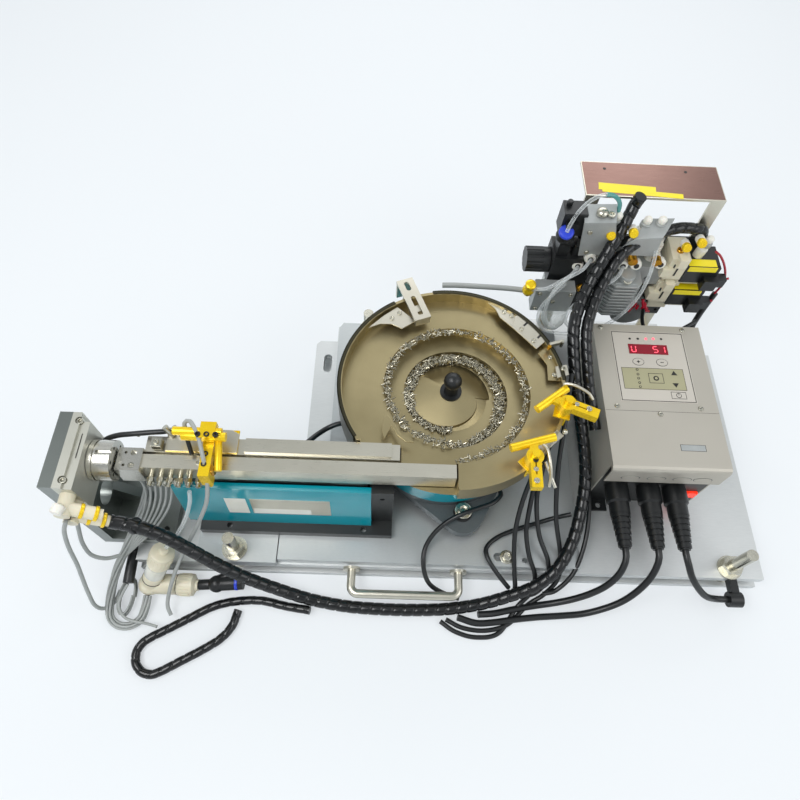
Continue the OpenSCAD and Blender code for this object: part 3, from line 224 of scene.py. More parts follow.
def makeFinish(name, f):
    m = bpy.data.materials.new(name)
    m.use_nodes = True
    t = m.node_tree
    t.nodes.clear()
    where = addNode(t, "ShaderNodeTexCoord").outputs["Object"]
    patch = addNode(t, "ShaderNodeTexNoise", {"Scale": 1000 / f["patch"], "Detail": 3.0}, {"Vector": where})
    if "rings" in f:
        centre = Vector((*f["rings"], 0)) * milli
        off = addNode(t, "ShaderNodeVectorMath", {"operation": "SUBTRACT", 1: centre}, {0: where})
        flat = addNode(t, "ShaderNodeVectorMath", {"operation": "MULTIPLY", 1: (1, 1, 0)}, {0: off.outputs[0]})
        far = addNode(t, "ShaderNodeVectorMath", {"operation": "LENGTH"}, {0: flat.outputs[0]})
        place = addNode(t, "ShaderNodeCombineXYZ", None, {0: far.outputs["Value"]}).outputs[0]
    else:
        place = addNode(t, "ShaderNodeMapping", {"Scale": f.get("stretch", (1, 1, 1))}, {"Vector": where}).outputs[0]
    grain = addNode(t, "ShaderNodeTexNoise", {"Scale": 1000 / f["grain"], "Detail": 4.0}, {"Vector": place})
    fine = addNode(t, "ShaderNodeMath", {"operation": "MULTIPLY", 1: 0.4}, {0: grain.outputs[0]})
    share = addNode(t, "ShaderNodeMath", {"operation": "MULTIPLY_ADD", 1: 0.7},
                    {0: patch.outputs[0], 2: fine.outputs[0]})
    colour = addNode(t, "ShaderNodeMix", {"data_type": "RGBA", 6: hexColour(f["base"]), 7: hexColour(f["second"])},
                     {0: share.outputs[0]})
    rough = addNode(t, "ShaderNodeMapRange", {3: f["rough"] - 0.08, 4: f["rough"] + 0.08},
                    {0: grain.outputs[0]})
    bump = addNode(t, "ShaderNodeBump", {"Strength": 0.6, "Distance": f["bump"] * milli},
                   {"Height": grain.outputs[0]})
    shader = addNode(t, "ShaderNodeBsdfPrincipled", {"Metallic": f["metallic"]},
                     {"Base Color": colour.outputs[2], "Roughness": rough.outputs[0], "Normal": bump.outputs[0]})
    if "coat" in f:
        shader.inputs["Coat Weight"].default_value = f["coat"]
        shader.inputs["Coat Roughness"].default_value = 0.08
    if "soft" in f:
        shader.inputs["Subsurface Weight"].default_value = f["soft"]
        shader.inputs["Subsurface Scale"].default_value = 0.002
    if "aniso" in f:
        around = addNode(t, "ShaderNodeTangent", {"direction_type": "RADIAL", "axis": "Z"})
        shader.inputs["Anisotropic"].default_value = f["aniso"]
        t.links.new(around.outputs[0], shader.inputs["Tangent"])
    addNode(t, "ShaderNodeOutputMaterial", None, {0: shader.outputs[0]})
    return m


def makeLamp(name, text, strength):
    m = bpy.data.materials.new(name)
    m.use_nodes = True
    t = m.node_tree
    t.nodes.clear()
    where = addNode(t, "ShaderNodeTexCoord").outputs["Object"]
    cloud = addNode(t, "ShaderNodeTexNoise", {"Scale": 400.0}, {"Vector": where})
    rough = addNode(t, "ShaderNodeMapRange", {3: 0.18, 4: 0.3}, {0: cloud.outputs[0]})
    shader = addNode(t, "ShaderNodeBsdfPrincipled",
                     {"Base Color": hexColour(text), "Emission Color": hexColour(text),
                      "Emission Strength": strength}, {"Roughness": rough.outputs[0]})
    addNode(t, "ShaderNodeOutputMaterial", None, {0: shader.outputs[0]})
    return m


def makeGlass(name, g):
    # a thin clear wall, more solid where it is seen edge on
    m = bpy.data.materials.new(name)
    m.use_nodes = True
    t = m.node_tree
    t.nodes.clear()
    where = addNode(t, "ShaderNodeTexCoord").outputs["Object"]
    haze = addNode(t, "ShaderNodeTexNoise", {"Scale": 150.0, "Detail": 3.0}, {"Vector": where})
    rough = addNode(t, "ShaderNodeMapRange", {3: g["rough"], 4: g["rough"] + 0.1}, {0: haze.outputs[0]})
    edge = addNode(t, "ShaderNodeLayerWeight", {"Blend": 0.35})
    alpha = addNode(t, "ShaderNodeMapRange", {3: g["body"], 4: 1.0}, {0: edge.outputs["Facing"]})
    shader = addNode(t, "ShaderNodeBsdfPrincipled", {"Base Color": hexColour(g["tint"]), "IOR": g["ior"]},
                     {"Roughness": rough.outputs[0], "Alpha": alpha.outputs[0]})
    addNode(t, "ShaderNodeOutputMaterial", None, {0: shader.outputs[0]})
    return m


looks = {name: makeFinish(name, f) for name, f in finishes.items()}
looks.update({name: makeLamp(name, *v) for name, v in lamps.items()})
looks.update({name: makeGlass(name, g) for name, g in glasses.items()})
print("materials made:", len(looks))


def sides(axis):
    # two directions square to an axis
    axis = Vector(axis).normalized()
    u = axis.cross(Vector((0, 0, 1)) if abs(axis.z) < 0.9 else Vector((1, 0, 0))).normalized()
    return u, axis.cross(u), axis


def smoothPath(points, step=2.0):
    # a smooth line through the points, with a point every few mm
    p = [Vector(q) for q in points]
    p = [2 * p[0] - p[1]] + p + [2 * p[-1] - p[-2]]
    out = []
    for i in range(1, len(p) - 2):
        a, b, c, d = p[i - 1:i + 3]
        n = max(1, round((c - b).length / step))
        for k in range(n):
            s = k / n
            out.append(0.5 * (2 * b + (c - a) * s + (2 * a - 5 * b + 4 * c - d) * s * s
                              + (3 * b - a - 3 * c + d) * s * s * s))
    return out + [p[-2]]


def carried(path):
    # directions square to the path that don't twist along it
    u = None
    out = []
    for i in range(len(path)):
        ahead = (path[min(i + 1, len(path) - 1)] - path[max(i - 1, 0)]).normalized()
        u = sides(ahead)[0] if u is None else (u - ahead * u.dot(ahead)).normalized()
        out.append((u, ahead.cross(u)))
    return out


def circle(at, u, v, r, count):
    turns = [2 * math.pi * k / count for k in range(count)]
    return [Vector(at) + r * (math.cos(a) * u + math.sin(a) * v) for a in turns]


class Shape:
    # collects solids in mm, each in the finish chosen last, and makes one piece of them

    def __init__(self, finish):
        self.bm = bmesh.new()
        self.finishes = []
        self.use(finish)

    def use(self, finish):
        if finish not in self.finishes:
            self.finishes.append(finish)
        self.index = self.finishes.index(finish)
        return self

    def skin(self, rings, smooth=True, closed=True):
        made = [[self.bm.verts.new(p) for p in ring] for ring in rings]
        n = len(made[0])
        walls = [self.bm.faces.new((a[i], a[(i + 1) % n], b[(i + 1) % n], b[i]))
                 for a, b in zip(made, made[1:]) for i in range(n)]
        caps = [self.bm.faces.new(made[0][::-1]), self.bm.faces.new(made[-1])] if closed else []
        for f in walls + caps:
            f.material_index = self.index
        for f in walls:
            f.smooth = smooth
        return self

    def prism(self, corners, reach):
        # a flat outline drawn out along reach
        low = [Vector(c) for c in corners]
        return self.skin([low, [c + Vector(reach) for c in low]], smooth=False)

    def slab(self, outline, low, high):
        return self.prism([(x, y, low) for x, y in outline], (0, 0, high - low))

    def box(self, lo, hi):
        return self.slab([(lo[0], lo[1]), (hi[0], lo[1]), (hi[0], hi[1]), (lo[0], hi[1])], lo[2], hi[2])

    def bar(self, a, b, wide, tall, up=(0, 0, 1)):
        # a square bar from a to b
        ahead = (Vector(b) - Vector(a)).normalized()
        u = ahead.cross(Vector(up)).normalized() * wide / 2
        v = u.cross(ahead).normalized() * tall / 2
        return self.prism([Vector(a) + p for p in (u + v, v - u, -u - v, u - v)], Vector(b) - Vector(a))

    def lathe(self, at, axis, profile, count=28):
        # profile is (radius, height) from one end of the axis to the other
        u, v, w = sides(axis)
        return self.skin([circle(Vector(at) + h * w, u, v, max(r, 0.02), count) for r, h in profile])

    def rod(self, a, b, r, end=None, count=20):
        reach = (Vector(b) - Vector(a)).length
        return self.lathe(a, Vector(b) - Vector(a), [(r, 0), (r if end is None else end, reach)], count)

    def tube(self, points, r, step=2.0, count=10):
        path = smoothPath(points, step)
        return self.skin([circle(p, u, v, r, count) for p, (u, v) in zip(path, carried(path))])

    def ball(self, at, r):
        arc = [math.pi * k / 10 for k in range(11)]
        return self.lathe(at, (0, 0, 1), [(r * math.sin(a), -r * math.cos(a)) for a in arc], 20)

    def screw(self, at, axis, r, tall=None):
        # a socket head cap screw standing on at, with a six sided socket
        u, v, w = sides(axis)
        tall = tall or r
        socket = []
        for depth in (tall, 0.35 * tall):
            turns = [2 * math.pi * k / 24 for k in range(24)]
            reach = [0.5 * r / math.cos((a % (math.pi / 3)) - math.pi / 6) for a in turns]
            socket.append([Vector(at) + depth * w + s * (math.cos(a) * u + math.sin(a) * v)
                           for a, s in zip(turns, reach)])
        wall = [circle(Vector(at) + h * w, u, v, q, 24)
                for q, h in ((r, 0), (r, 0.85 * tall), (0.88 * r, tall))]
        return self.skin(wall + socket, smooth=False)

    def done(self, name, body="base", slot=None, replaces=(), bevel=0.3):
        bmesh.ops.scale(self.bm, vec=(milli, milli, milli), verts=self.bm.verts)
        bmesh.ops.recalc_face_normals(self.bm, faces=self.bm.faces)
        mesh = bpy.data.meshes.new(name)
        self.bm.to_mesh(mesh)
        self.bm.free()
        for finish in self.finishes:
            mesh.materials.append(looks[finish])
        return place(bpy.data.objects.new(name, mesh), body, slot, replaces, bevel)


def place(obj, body, slot=None, replaces=(), bevel=0.0):
    scene.collection.objects.link(obj)
    if bevel:
        addBevel(obj, bevel)
    if obj.type == "MESH":
        obj.modifiers.new("crisp", "EDGE_SPLIT").split_angle = math.radians(38)
    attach(obj, body)
    if replaces:
        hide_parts(*replaces)
    return obj


def addBevel(obj, width):
    m = obj.modifiers.new("edge", "BEVEL")
    m.width = width * milli
    m.segments = 2
    m.limit_method = "ANGLE"
    m.angle_limit = math.radians(40)


# routes of the cords in mm, as the part's source gives them
routes = {
    "harness": [(170.5, 156.3, 254.5), (168.5, 156.3, 245), (164, 149, 236), (156.7, 136, 225),
        (144.4, 118, 207), (131.6, 98, 187), (121, 76, 177.5), (114.8, 50, 167), (117.5, 15, 147),
        (123, -10, 129), (129, -35, 113), (134, -62, 97), (135, -88, 82), (129, -122, 66), (120, -147, 56),
        (105, -169.5, 48), (85, -183.5, 35.5), (58, -192, 21.5), (28, -199, 11), (-6, -204, 8),
        (-42, -206, 7.5), (-78, -206, 7.5), (-114, -204, 7.5), (-150, -199, 11), (-184, -192, 23),
        (-214, -186, 43), (-240, -179, 66), (-264, -171, 91), (-284, -165, 112), (-304, -161.5, 126.5),
        (-316.5, -161, 133.5), (-325.2, -161, 138.5)],
    "branch": [(256, 156.8, 203), (252, 156, 212), (240.5, 152, 218), (223.5, 149, 221), (206, 145, 219),
        (190.4, 139, 216.5), (173.2, 130.5, 211), (158, 118, 202.5), (145.6, 98, 188), (135.4, 76, 178.5),
        (128.2, 50, 168), (131, 15, 148), (136.5, -10, 130.5), (142.3, -38, 115.5)],
    "loop": [(-150, -209.9, 9), (-176, -206, 7), (-202, -201, 6), (-228, -202, 5), (-252, -208, 5),
        (-276, -221, 5), (-296, -232.3, 5), (-314, -242.5, 5), (-321.5, -250.6, 5), (-323.1, -259.8, 5),
        (-319.9, -268.5, 5), (-312.8, -274.5, 5), (-303.6, -276.1, 5), (-294, -272.5, 5),
        (-276, -262.4, 5), (-256, -251, 5), (-240, -240, 5), (-230, -227, 5), (-226, -211.2, 5)],
    "left": [(172.5, -151, 72), (172.5, -155, 72), (172, -163, 69), (167, -174, 60), (157, -183, 47),
        (143, -189, 34), (126, -193, 22), (108, -195.5, 13), (88, -198, 8), (66, -202, 6), (46, -206.5, 6),
        (28, -208.7, 8.2)],
    "middle": [(206.5, -151, 72), (206.5, -155, 72), (206, -163, 68), (201, -175, 57), (191, -186, 43),
        (177, -195, 29), (159, -201, 17), (139, -205, 9), (116, -207, 5.5), (92, -209, 5), (68, -212, 5),
        (46, -215.5, 5), (26, -217, 5.5), (6, -212.2, 8)],
    "right": [(234.5, -151, 72), (234.5, -155, 72), (236.5, -164, 69), (242, -175, 60), (252, -183, 48),
        (264, -188, 36), (278, -188, 25), (290, -188, 23), (294, -188, 23)],
    "bowlLead": [(46, -89, 68), (47, -98, 73), (38, -108, 76), (24, -114, 77), (8, -120, 76),
        (-8, -127, 70), (-22, -137, 60), (-31, -150, 50), (-33, -163, 45), (-31, -174, 37),
        (-26, -181, 26), (-18, -185, 16), (-6, -189, 10), (8, -192.8, 8.6)],
    "trackLead": [(124, -112, 60), (108, -114, 52), (88, -119, 46), (66, -126, 43.5), (46, -135, 43),
        (34, -147, 43), (36, -160, 44), (46, -173, 38), (59, -183.3, 24.7)],
    "sensor": [(-308, -110, 137.4), (-308, -110, 132), (-308, -111.5, 122), (-310, -117, 107),
        (-318, -128, 86), (-330, -142, 64), (-342, -158, 44), (-354, -176, 25), (-360, -195, 12),
        (-360.5, -212, 6), (-356.9, -223.2, 4.6), (-347.4, -230, 4.6), (-335.6, -230, 4.6),
        (-326.1, -223.2, 5), (-322.5, -212, 8), (-321.5, -200.3, 11)],
    "hose": [(-103.1, -18, 68), (-107, -18, 68), (-117, -16, 66), (-130, -14, 60), (-143, -18, 56),
        (-155, -28, 57), (-165, -42, 64), (-174, -56, 78), (-181, -66, 94), (-183, -74, 105),
        (-183, -78.9, 105)],
}
# finish of each CAD part, with the width of its softened edges in mm
nodeLooks = {
    "lower_plate": ("anodisedPlate", 0.6), "upper_plate": ("anodisedPlate", 0.6), "deck_plates": ("deckPlate", 0.6),
    "clamp_studs": ("zincPlate", 0), "clamp_hardware": ("zincPlate", 0.3), "front_handle": ("groundSteel", 0),
    "rubber_feet": ("rubber", 0.5), "drive_base": ("greyCasting", 0.8), "drive_skirt": ("tealPaint", 0.5),
    "spring_packs": ("oiledSteel", 0.2), "drive_magnets": ("laminatedIron", 0.3), "drive_top": ("greyCasting", 0.8),
    "bowl": ("champagneBowl", 0.3), "bowl_knob": ("blackNylon", 0.3), "bowl_wipers": ("brightStrip", 0.2),
    "bowl_bracket": ("brightStrip", 0.3), "jet_posts": ("goldAnodised", 0.4), "jet_arm_1": ("goldAnodised", 0.4),
    "jet_arm_2": ("goldAnodised", 0.4), "feeder_base": ("blackPaint", 0.5), "feeder_cover": ("tealPaint", 0.5),
    "feeder_end": ("blackPaint", 0.5), "feeder_top_bar": ("oiledSteel", 0.4), "track_rails": ("groundSteel", 0.3),
    "track_end_block": ("turnedSteel", 0.5), "track_jets": ("zincPlate", 0.3), "track_clamp": ("goldAnodised", 0.4),
    "escapement_column": ("oiledSteel", 0.6), "rotary_actuator": ("brushedAluminium", 0.5),
    "actuator_elbows": ("creamNylon", 0.5), "index_disc": ("turnedSteel", 0.3), "controller_case": ("blackPaint", 0.5),
    "controller_cover": ("metallicEnamel", 1.6), "controller_board": ("boardMask", 0.1),
    "controller_sockets": ("blackNylon", 0.3), "cable_plugs": ("blackNylon", 0.3), "rocker_switch": ("rockerRed", 0.3),
    "handle_bracket": ("brightStrip", 0.5), "pneumatic_panel": ("blackPaint", 0.4),
    "valve_manifold": ("castAluminium", 0.5), "solenoid_valves": ("creamNylon", 0.4),
    "speed_controllers": ("whiteAcetal", 0.3), "speed_knob_1": ("brass", 0.2), "speed_knob_2": ("brass", 0.2),
    "speed_knob_3": ("brass", 0.2), "regulator_body": ("blackNylon", 0.5), "regulator_knob": ("blackNylon", 0.3),
    "filter_bowl": ("clearBowl", 0), "silencer": ("castAluminium", 0.3), "inline_filters": ("creamNylon", 0.3),
    "harness": ("wrapPolyethylene", 0), "harness_branch": ("wrapPolyethylene", 0),
    "harness_loop": ("wrapPolyethylene", 0),
    "plug_cable_left": ("blackVinyl", 0), "plug_cable_middle": ("blackVinyl", 0), "plug_cable_right": ("blackVinyl", 0),
    "bowl_cable": ("blackVinyl", 0), "track_cable": ("blackVinyl", 0), "sensor_cables": ("greyVinyl", 0),
    "rail_hoses": ("blackVinyl", 0),
}
for name, (finish, width) in nodeLooks.items():
    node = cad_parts[name]
    node.data.materials.clear()
    node.data.materials.append(looks[finish])
    if width:
        addBevel(node, width)
print("parts finished:", len(nodeLooks))


def flex(name, key, radius, finish, **facts):
    # a plain cable or tube as a curve along its route
    path = [p * milli for p in smoothPath(routes[key], 4.0)]
    curve = bpy.data.curves.new(name, "CURVE")
    curve.dimensions = "3D"
    curve.bevel_depth = radius * milli
    curve.bevel_resolution = 4
    curve.use_fill_caps = True
    line = curve.splines.new("POLY")
    line.points.add(len(path) - 1)
    for point, at in zip(line.points, path):
        point.co = (*at, 1)
    curve.materials.append(looks[finish])
    obj = place(bpy.data.objects.new(name, curve), "base", facts["slot"], (facts["node"],))
    return obj


# flat strip wound round a bundle: the strip's pitch and gap, and how deep the gap is
wrapSet = {"pitch": 11.5, "gap": 0.11, "sunk": 0.84, "step": 1.1}


def wrapped(name, key, radius, **facts):
    path = smoothPath(routes[key], wrapSet["step"])
    shape = Shape("wrapPolyethylene")
    rings, run = [], 0.0
    for i, (p, (u, v)) in enumerate(zip(path, carried(path))):
        run += (p - path[i - 1]).length if i else 0
        ring = []
        for k in range(24):
            phase = (run / wrapSet["pitch"] + k / 24) % 1
            r = radius * (wrapSet["sunk"] if phase < wrapSet["gap"] else 0.97 + 0.03 * math.sin(math.pi * phase))
            a = 2 * math.pi * k / 24
            ring.append(p + r * (math.cos(a) * u + math.sin(a) * v))
        rings.append(ring)
    shape.skin(rings)
    obj = shape.done(name, "base", facts["slot"], (facts["node"],), bevel=0)
    return obj


def strands(name, key, radius, **facts):
    # thin grey leads lying together, one in the middle and the others winding slowly round it
    path = smoothPath(routes[key], 3.0)
    thin, count = radius * 0.32, 6
    s = Shape("greyVinyl")
    frames = list(zip(path, carried(path)))
    for k in range(count + 1):
        line, run = [], 0.0
        for i, (p, (u, v)) in enumerate(frames):
            run += (p - path[i - 1]).length if i else 0
            a = 2 * math.pi * k / count + run / 38
            line.append(p + (radius - thin) * (k < count) * (math.cos(a) * u + math.sin(a) * v))
        s.skin([circle(p, u, v, thin, 8) for p, (u, v) in zip(line, carried(line))])
    obj = s.done(name, "base", facts["slot"], (facts["node"],), bevel=0)


wrapped("harness_wrap", "harness", 6.5, slot="black_wrap", node="harness", far="object")
wrapped("branch_wrap", "branch", 6.0, slot="black_wrap", node="harness_branch", far="object")
wrapped("loop_wrap", "loop", 4.5, slot="black_wrap", node="harness_loop", far="bare")
flex("plug_cable_l", "left", 3.5, "blackVinyl", slot="black_wrap", node="plug_cable_left", far="object")
flex("plug_cable_m", "middle", 3.5, "blackVinyl", slot="black_wrap", node="plug_cable_middle", far="object")
flex("plug_cable_r", "right", 3.5, "blackVinyl", slot="black_wrap", node="plug_cable_right", far="object")
flex("bowl_lead", "bowlLead", 2.5, "blackVinyl", slot="black_wrap", node="bowl_cable", far="object")
flex("track_lead", "trackLead", 2.5, "blackVinyl", slot="black_wrap", node="track_cable", far="object")
strands("sensor_bundle", "sensor", 4.5, slot="grey_cable", node="sensor_cables", far="object")
flex("rail_hose", "hose", 3.0, "blackVinyl", slot="black_wrap", node="rail_hoses", far="object")
print("cords laid")

# loose screws in the bowl: two rings, one on the floor and one on the spiral ledge
bowlAt = (-13, -18)
screwSet = {"head": 1.05, "shank": 0.55, "long": 3.8, "seed": 7}
spiral = {"start": 42, "end": 84, "turns": 2, "from": -88}


def wallAt(angle, turn):
    # radius of the ledge's inner edge at an angle, one turn of the spiral after another
    swept = (spiral["from"] - angle) % 360 / 360 + turn
    return spiral["start"] + (spiral["end"] - spiral["start"]) * swept / spiral["turns"]


def looseScrews():
    rng = random.Random(screwSet["seed"])
    s = Shape("polishedScrew")
    for turn, low, count, reach in ((0, 137.0, 1500, (10.5, 1.2)), (1, 150.4, 700, (7, 1.2))):
        for _ in range(count):
            angle = rng.uniform(0, 360)
            r = wallAt(angle, turn) - rng.uniform(reach[1], reach[0])
            lift = 0 if turn == 0 else 6.5 * ((spiral["from"] - angle) % 360) / 360
            a = math.radians(angle)
            at = Vector((bowlAt[0] + r * math.cos(a), bowlAt[1] + r * math.sin(a), low + lift + rng.uniform(0, 2.5)))
            tilt, spin = rng.uniform(-0.2, 0.45), rng.uniform(0, 2 * math.pi)
            axis = Vector((math.cos(tilt) * math.cos(spin), math.cos(tilt) * math.sin(spin), math.sin(tilt)))
            u, v, w = sides(axis)
            h, k, l = screwSet["head"], screwSet["shank"], screwSet["long"]
            profile = [(0.6 * h, 0), (h, 0.35), (h, 1.0), (k, 1.05), (k, l), (0.3 * k, l + 0.3)]
            s.skin([circle(at + t * w, u, v, q, 7) for q, t in profile], smooth=False)
    s.done("loose_screws", "bowl_body", "screw_steel", bevel=0)


looseScrews()
print("screws scattered")
# raised cap on the bowl's cone: its edge winds outward from the right and fades on the far side
capSet = {"inner": 11, "start": 25, "end": 41, "tall": 3.0}


def coneAt(r):
    return 148 - 0.4 * (r - 12)


def spiralCap():
    inner, top, foot = [], [], []
    for k in range(72):
        back = 5 * k
        a = math.radians(-5 - back)
        if back <= 185:
            r = capSet["start"] + (capSet["end"] - capSet["start"]) * (back / 185) ** 0.6
            lift = capSet["tall"] * min(1, back / 40) * (1 if back < 120 else (200 - back) / 80)
        else:
            r = capSet["end"]
            lift = capSet["tall"] * 0.19 * max(0, 1 - (back - 185) / 80) - 0.15
        for ring, q, up in ((inner, capSet["inner"], 0.1), (top, r, lift), (foot, r + 0.6, -0.6)):
            ring.append(Vector((bowlAt[0] + q * math.cos(a), bowlAt[1] + q * math.sin(a), coneAt(q) + up)))
    s = Shape("champagneBowl").skin([inner, top, foot], closed=False)
    s.done("cone_cap", "bowl_body", "bowl_anodised", bevel=0)


spiralCap()

# thin plates screwed round the rim that turn screws back or guide them, with their height
rimPlates = {
    "left": dict(outline=[(-99.4, 45.7), (-84, 62), (-69.9, 73.8), (-50.2, 56.9), (-64.4, 46.4), (-75.7, 51.7),
                          (-86.9, 51.5)], z=165, screws=[(-75.1, 58.6), (-67.3, 65.9)]),
    "far": dict(outline=[(15.1, 90.5), (31.5, 88.3), (50.6, 77), (55, 69.2), (50.7, 53.2), (38.5, 65.4),
                         (34.2, 76.2), (24.8, 85.9)], z=166, screws=[(43.4, 72.3), (50.8, 67.4)]),
    "right": dict(outline=[(54.4, 66.7), (63.3, 66.2), (85.9, 38.1), (73.8, 25.8), (50.2, 51.8)], z=168,
                  screws=[(59.7, 49.3), (71.4, 35.5)], slots=[(65, 56.4), (78.3, 41.6)]),
    "edge": dict(outline=[(88.4, 34), (97, 10), (96.5, -9), (83.5, -9), (84, 10), (76, 23)], z=164,
                 screws=[(88, 18), (90, -3)]),
}


def addRimPlates():
    s = Shape("brightStrip")
    for p in rimPlates.values():
        s.use("champagneBowl" if p["z"] == 164 else "brightStrip").slab(p["outline"], p["z"] - 1.2, p["z"])
        for x, y in p["screws"]:
            s.use("zincPlate").screw((x, y, p["z"]), (0, 0, 1), 2.4, 1.5)
            s.use("brightStrip").rod((x, y, p["z"] - 6), (x, y, p["z"] - 1.2), 2.2)
        # black bars over the slots: painted shade inside them
        for x, y in p.get("slots", []):
            s.use("printBlack").bar((x - 2.4, y - 2.6, p["z"] + 0.05), (x + 2.4, y + 2.6, p["z"] + 0.05), 2.2, 0.3)
    s.done("rim_plates", "bowl_body", "steel", ("bowl_wipers",), 0.25)


addRimPlates()

# small steel pieces clamped on the right of the rim: a holed finger and its thumb screw, two bent tabs

def addFingers():
    s = Shape("brightStrip")
    s.slab([(63, -88), (69, -93), (92, -72), (86, -66)], 166, 168)
    for k in range(4):
        # black discs at the finger's four holes: painted shade inside them
        x, y = 68.5 + 5 * k, -87.5 + 4.6 * k
        s.use("printBlack").rod((x, y, 168), (x, y, 168.1), 0.9, count=10)
    s.use("zincPlate").ball((93, -69, 170), 2.8)
    s.use("groundSteel").rod((74, -96, 160), (84, -118, 150), 1.6)
    s.use("zincPlate").screw((98.5, 2, 168), (0.2, 0, 1), 2.8, 2.6)
    s.use("brightStrip").slab([(92, -8), (104, -4), (103, 8), (91, 5)], 165.5, 168)
    s.use("brightStrip").bar((86, 28, 172), (101, 33, 172), 3, 5)
    s.use("zincPlate").rod((99, 30, 168), (99, 30, 177), 1.6)
    s.use("brass").rod((86, 26, 169), (86, 26, 173), 2.0)
    s.done("rim_fingers", "bowl_body", "steel", bevel=0.25)


addFingers()

# socket screws and a bent steel tube on each golden clamp at the bowl
def addClampParts():
    s = Shape("zincPlate")
    s.screw((112.5, -53.3, 187.5), (0, 0, 1), 2.7, 2).screw((101.5, -48.6, 187.5), (0, 0, 1), 2.3, 1.4)
    s.use("blackNylon").screw((93, -44, 187.5), (0, 0, 1), 2.4, 1.6)
    s.use("brightStrip").tube([(91, -27, 188), (96, -28, 190), (104, -31, 190.5), (114, -37, 189), (118, -42, 186)],
                              1.5)
    s.done("clamp_parts_1", "jet_1", "screw_steel", bevel=0.15)
    s = Shape("zincPlate")
    s.screw((57.2, -127, 187.5), (0, 0, 1), 2.7, 2).screw((57.5, -116, 187.5), (0, 0, 1), 2.3, 1.4)
    s.use("blackNylon").screw((58, -107, 187.5), (0, 0, 1), 2.4, 1.6)
    s.use("brightStrip").tube([(66, -92, 188), (69, -97, 189.5), (71, -108, 187), (72.5, -118, 180),
                               (72, -126, 172)], 1.6)
    s.done("clamp_parts_2", "jet_2", "screw_steel", bevel=0.15)


addClampParts()
print("bowl fitted")

# face of the controller: framed panel, display, keys and lamps, all flat on its lid
lidZ = 132
faceSet = {
    "frame": (168, -11.5, 249, 78), "display": (185.5, 48.3, 228.5, 60.8), "panel": (173.8, 3.8, 240.5, 30.2),
    "key": (201.8, 11.6, 217.6, 23.8), "power": (222.5, -6.6, 238.5, 1.8), "line": 0.7,
    "ovals": [(193.7, 38.1), (219.6, 38.1)], "leds": [(190.7, 27.9), (190.7, 22.1), (190.7, 17), (190.9, 11.5),
                                                     (190.8, 6.5)],
    "dots": [(188.7, 68), (197.8, 68.3), (206.8, 68.6), (215.1, 68.9), (224, 69.1)],
}


def outlineBox(s, finish, edge, z, line):
    # four thin printed bars along a rectangle
    x0, y0, x1, y1 = edge
    s.use(finish)
    for a, b in (((x0, y0), (x1, y0 + line)), ((x0, y1 - line), (x1, y1)), ((x0, y0), (x0 + line, y1)),
                 ((x1 - line, y0), (x1, y1))):
        s.box((*a, z), (*b, z + 0.12))


def oval(s, at, z, rx, ry, tall, count=24):
    turns = [2 * math.pi * k / count for k in range(count)]
    s.slab([(at[0] + rx * math.cos(a), at[1] + ry * math.sin(a)) for a in turns], z, z + tall)


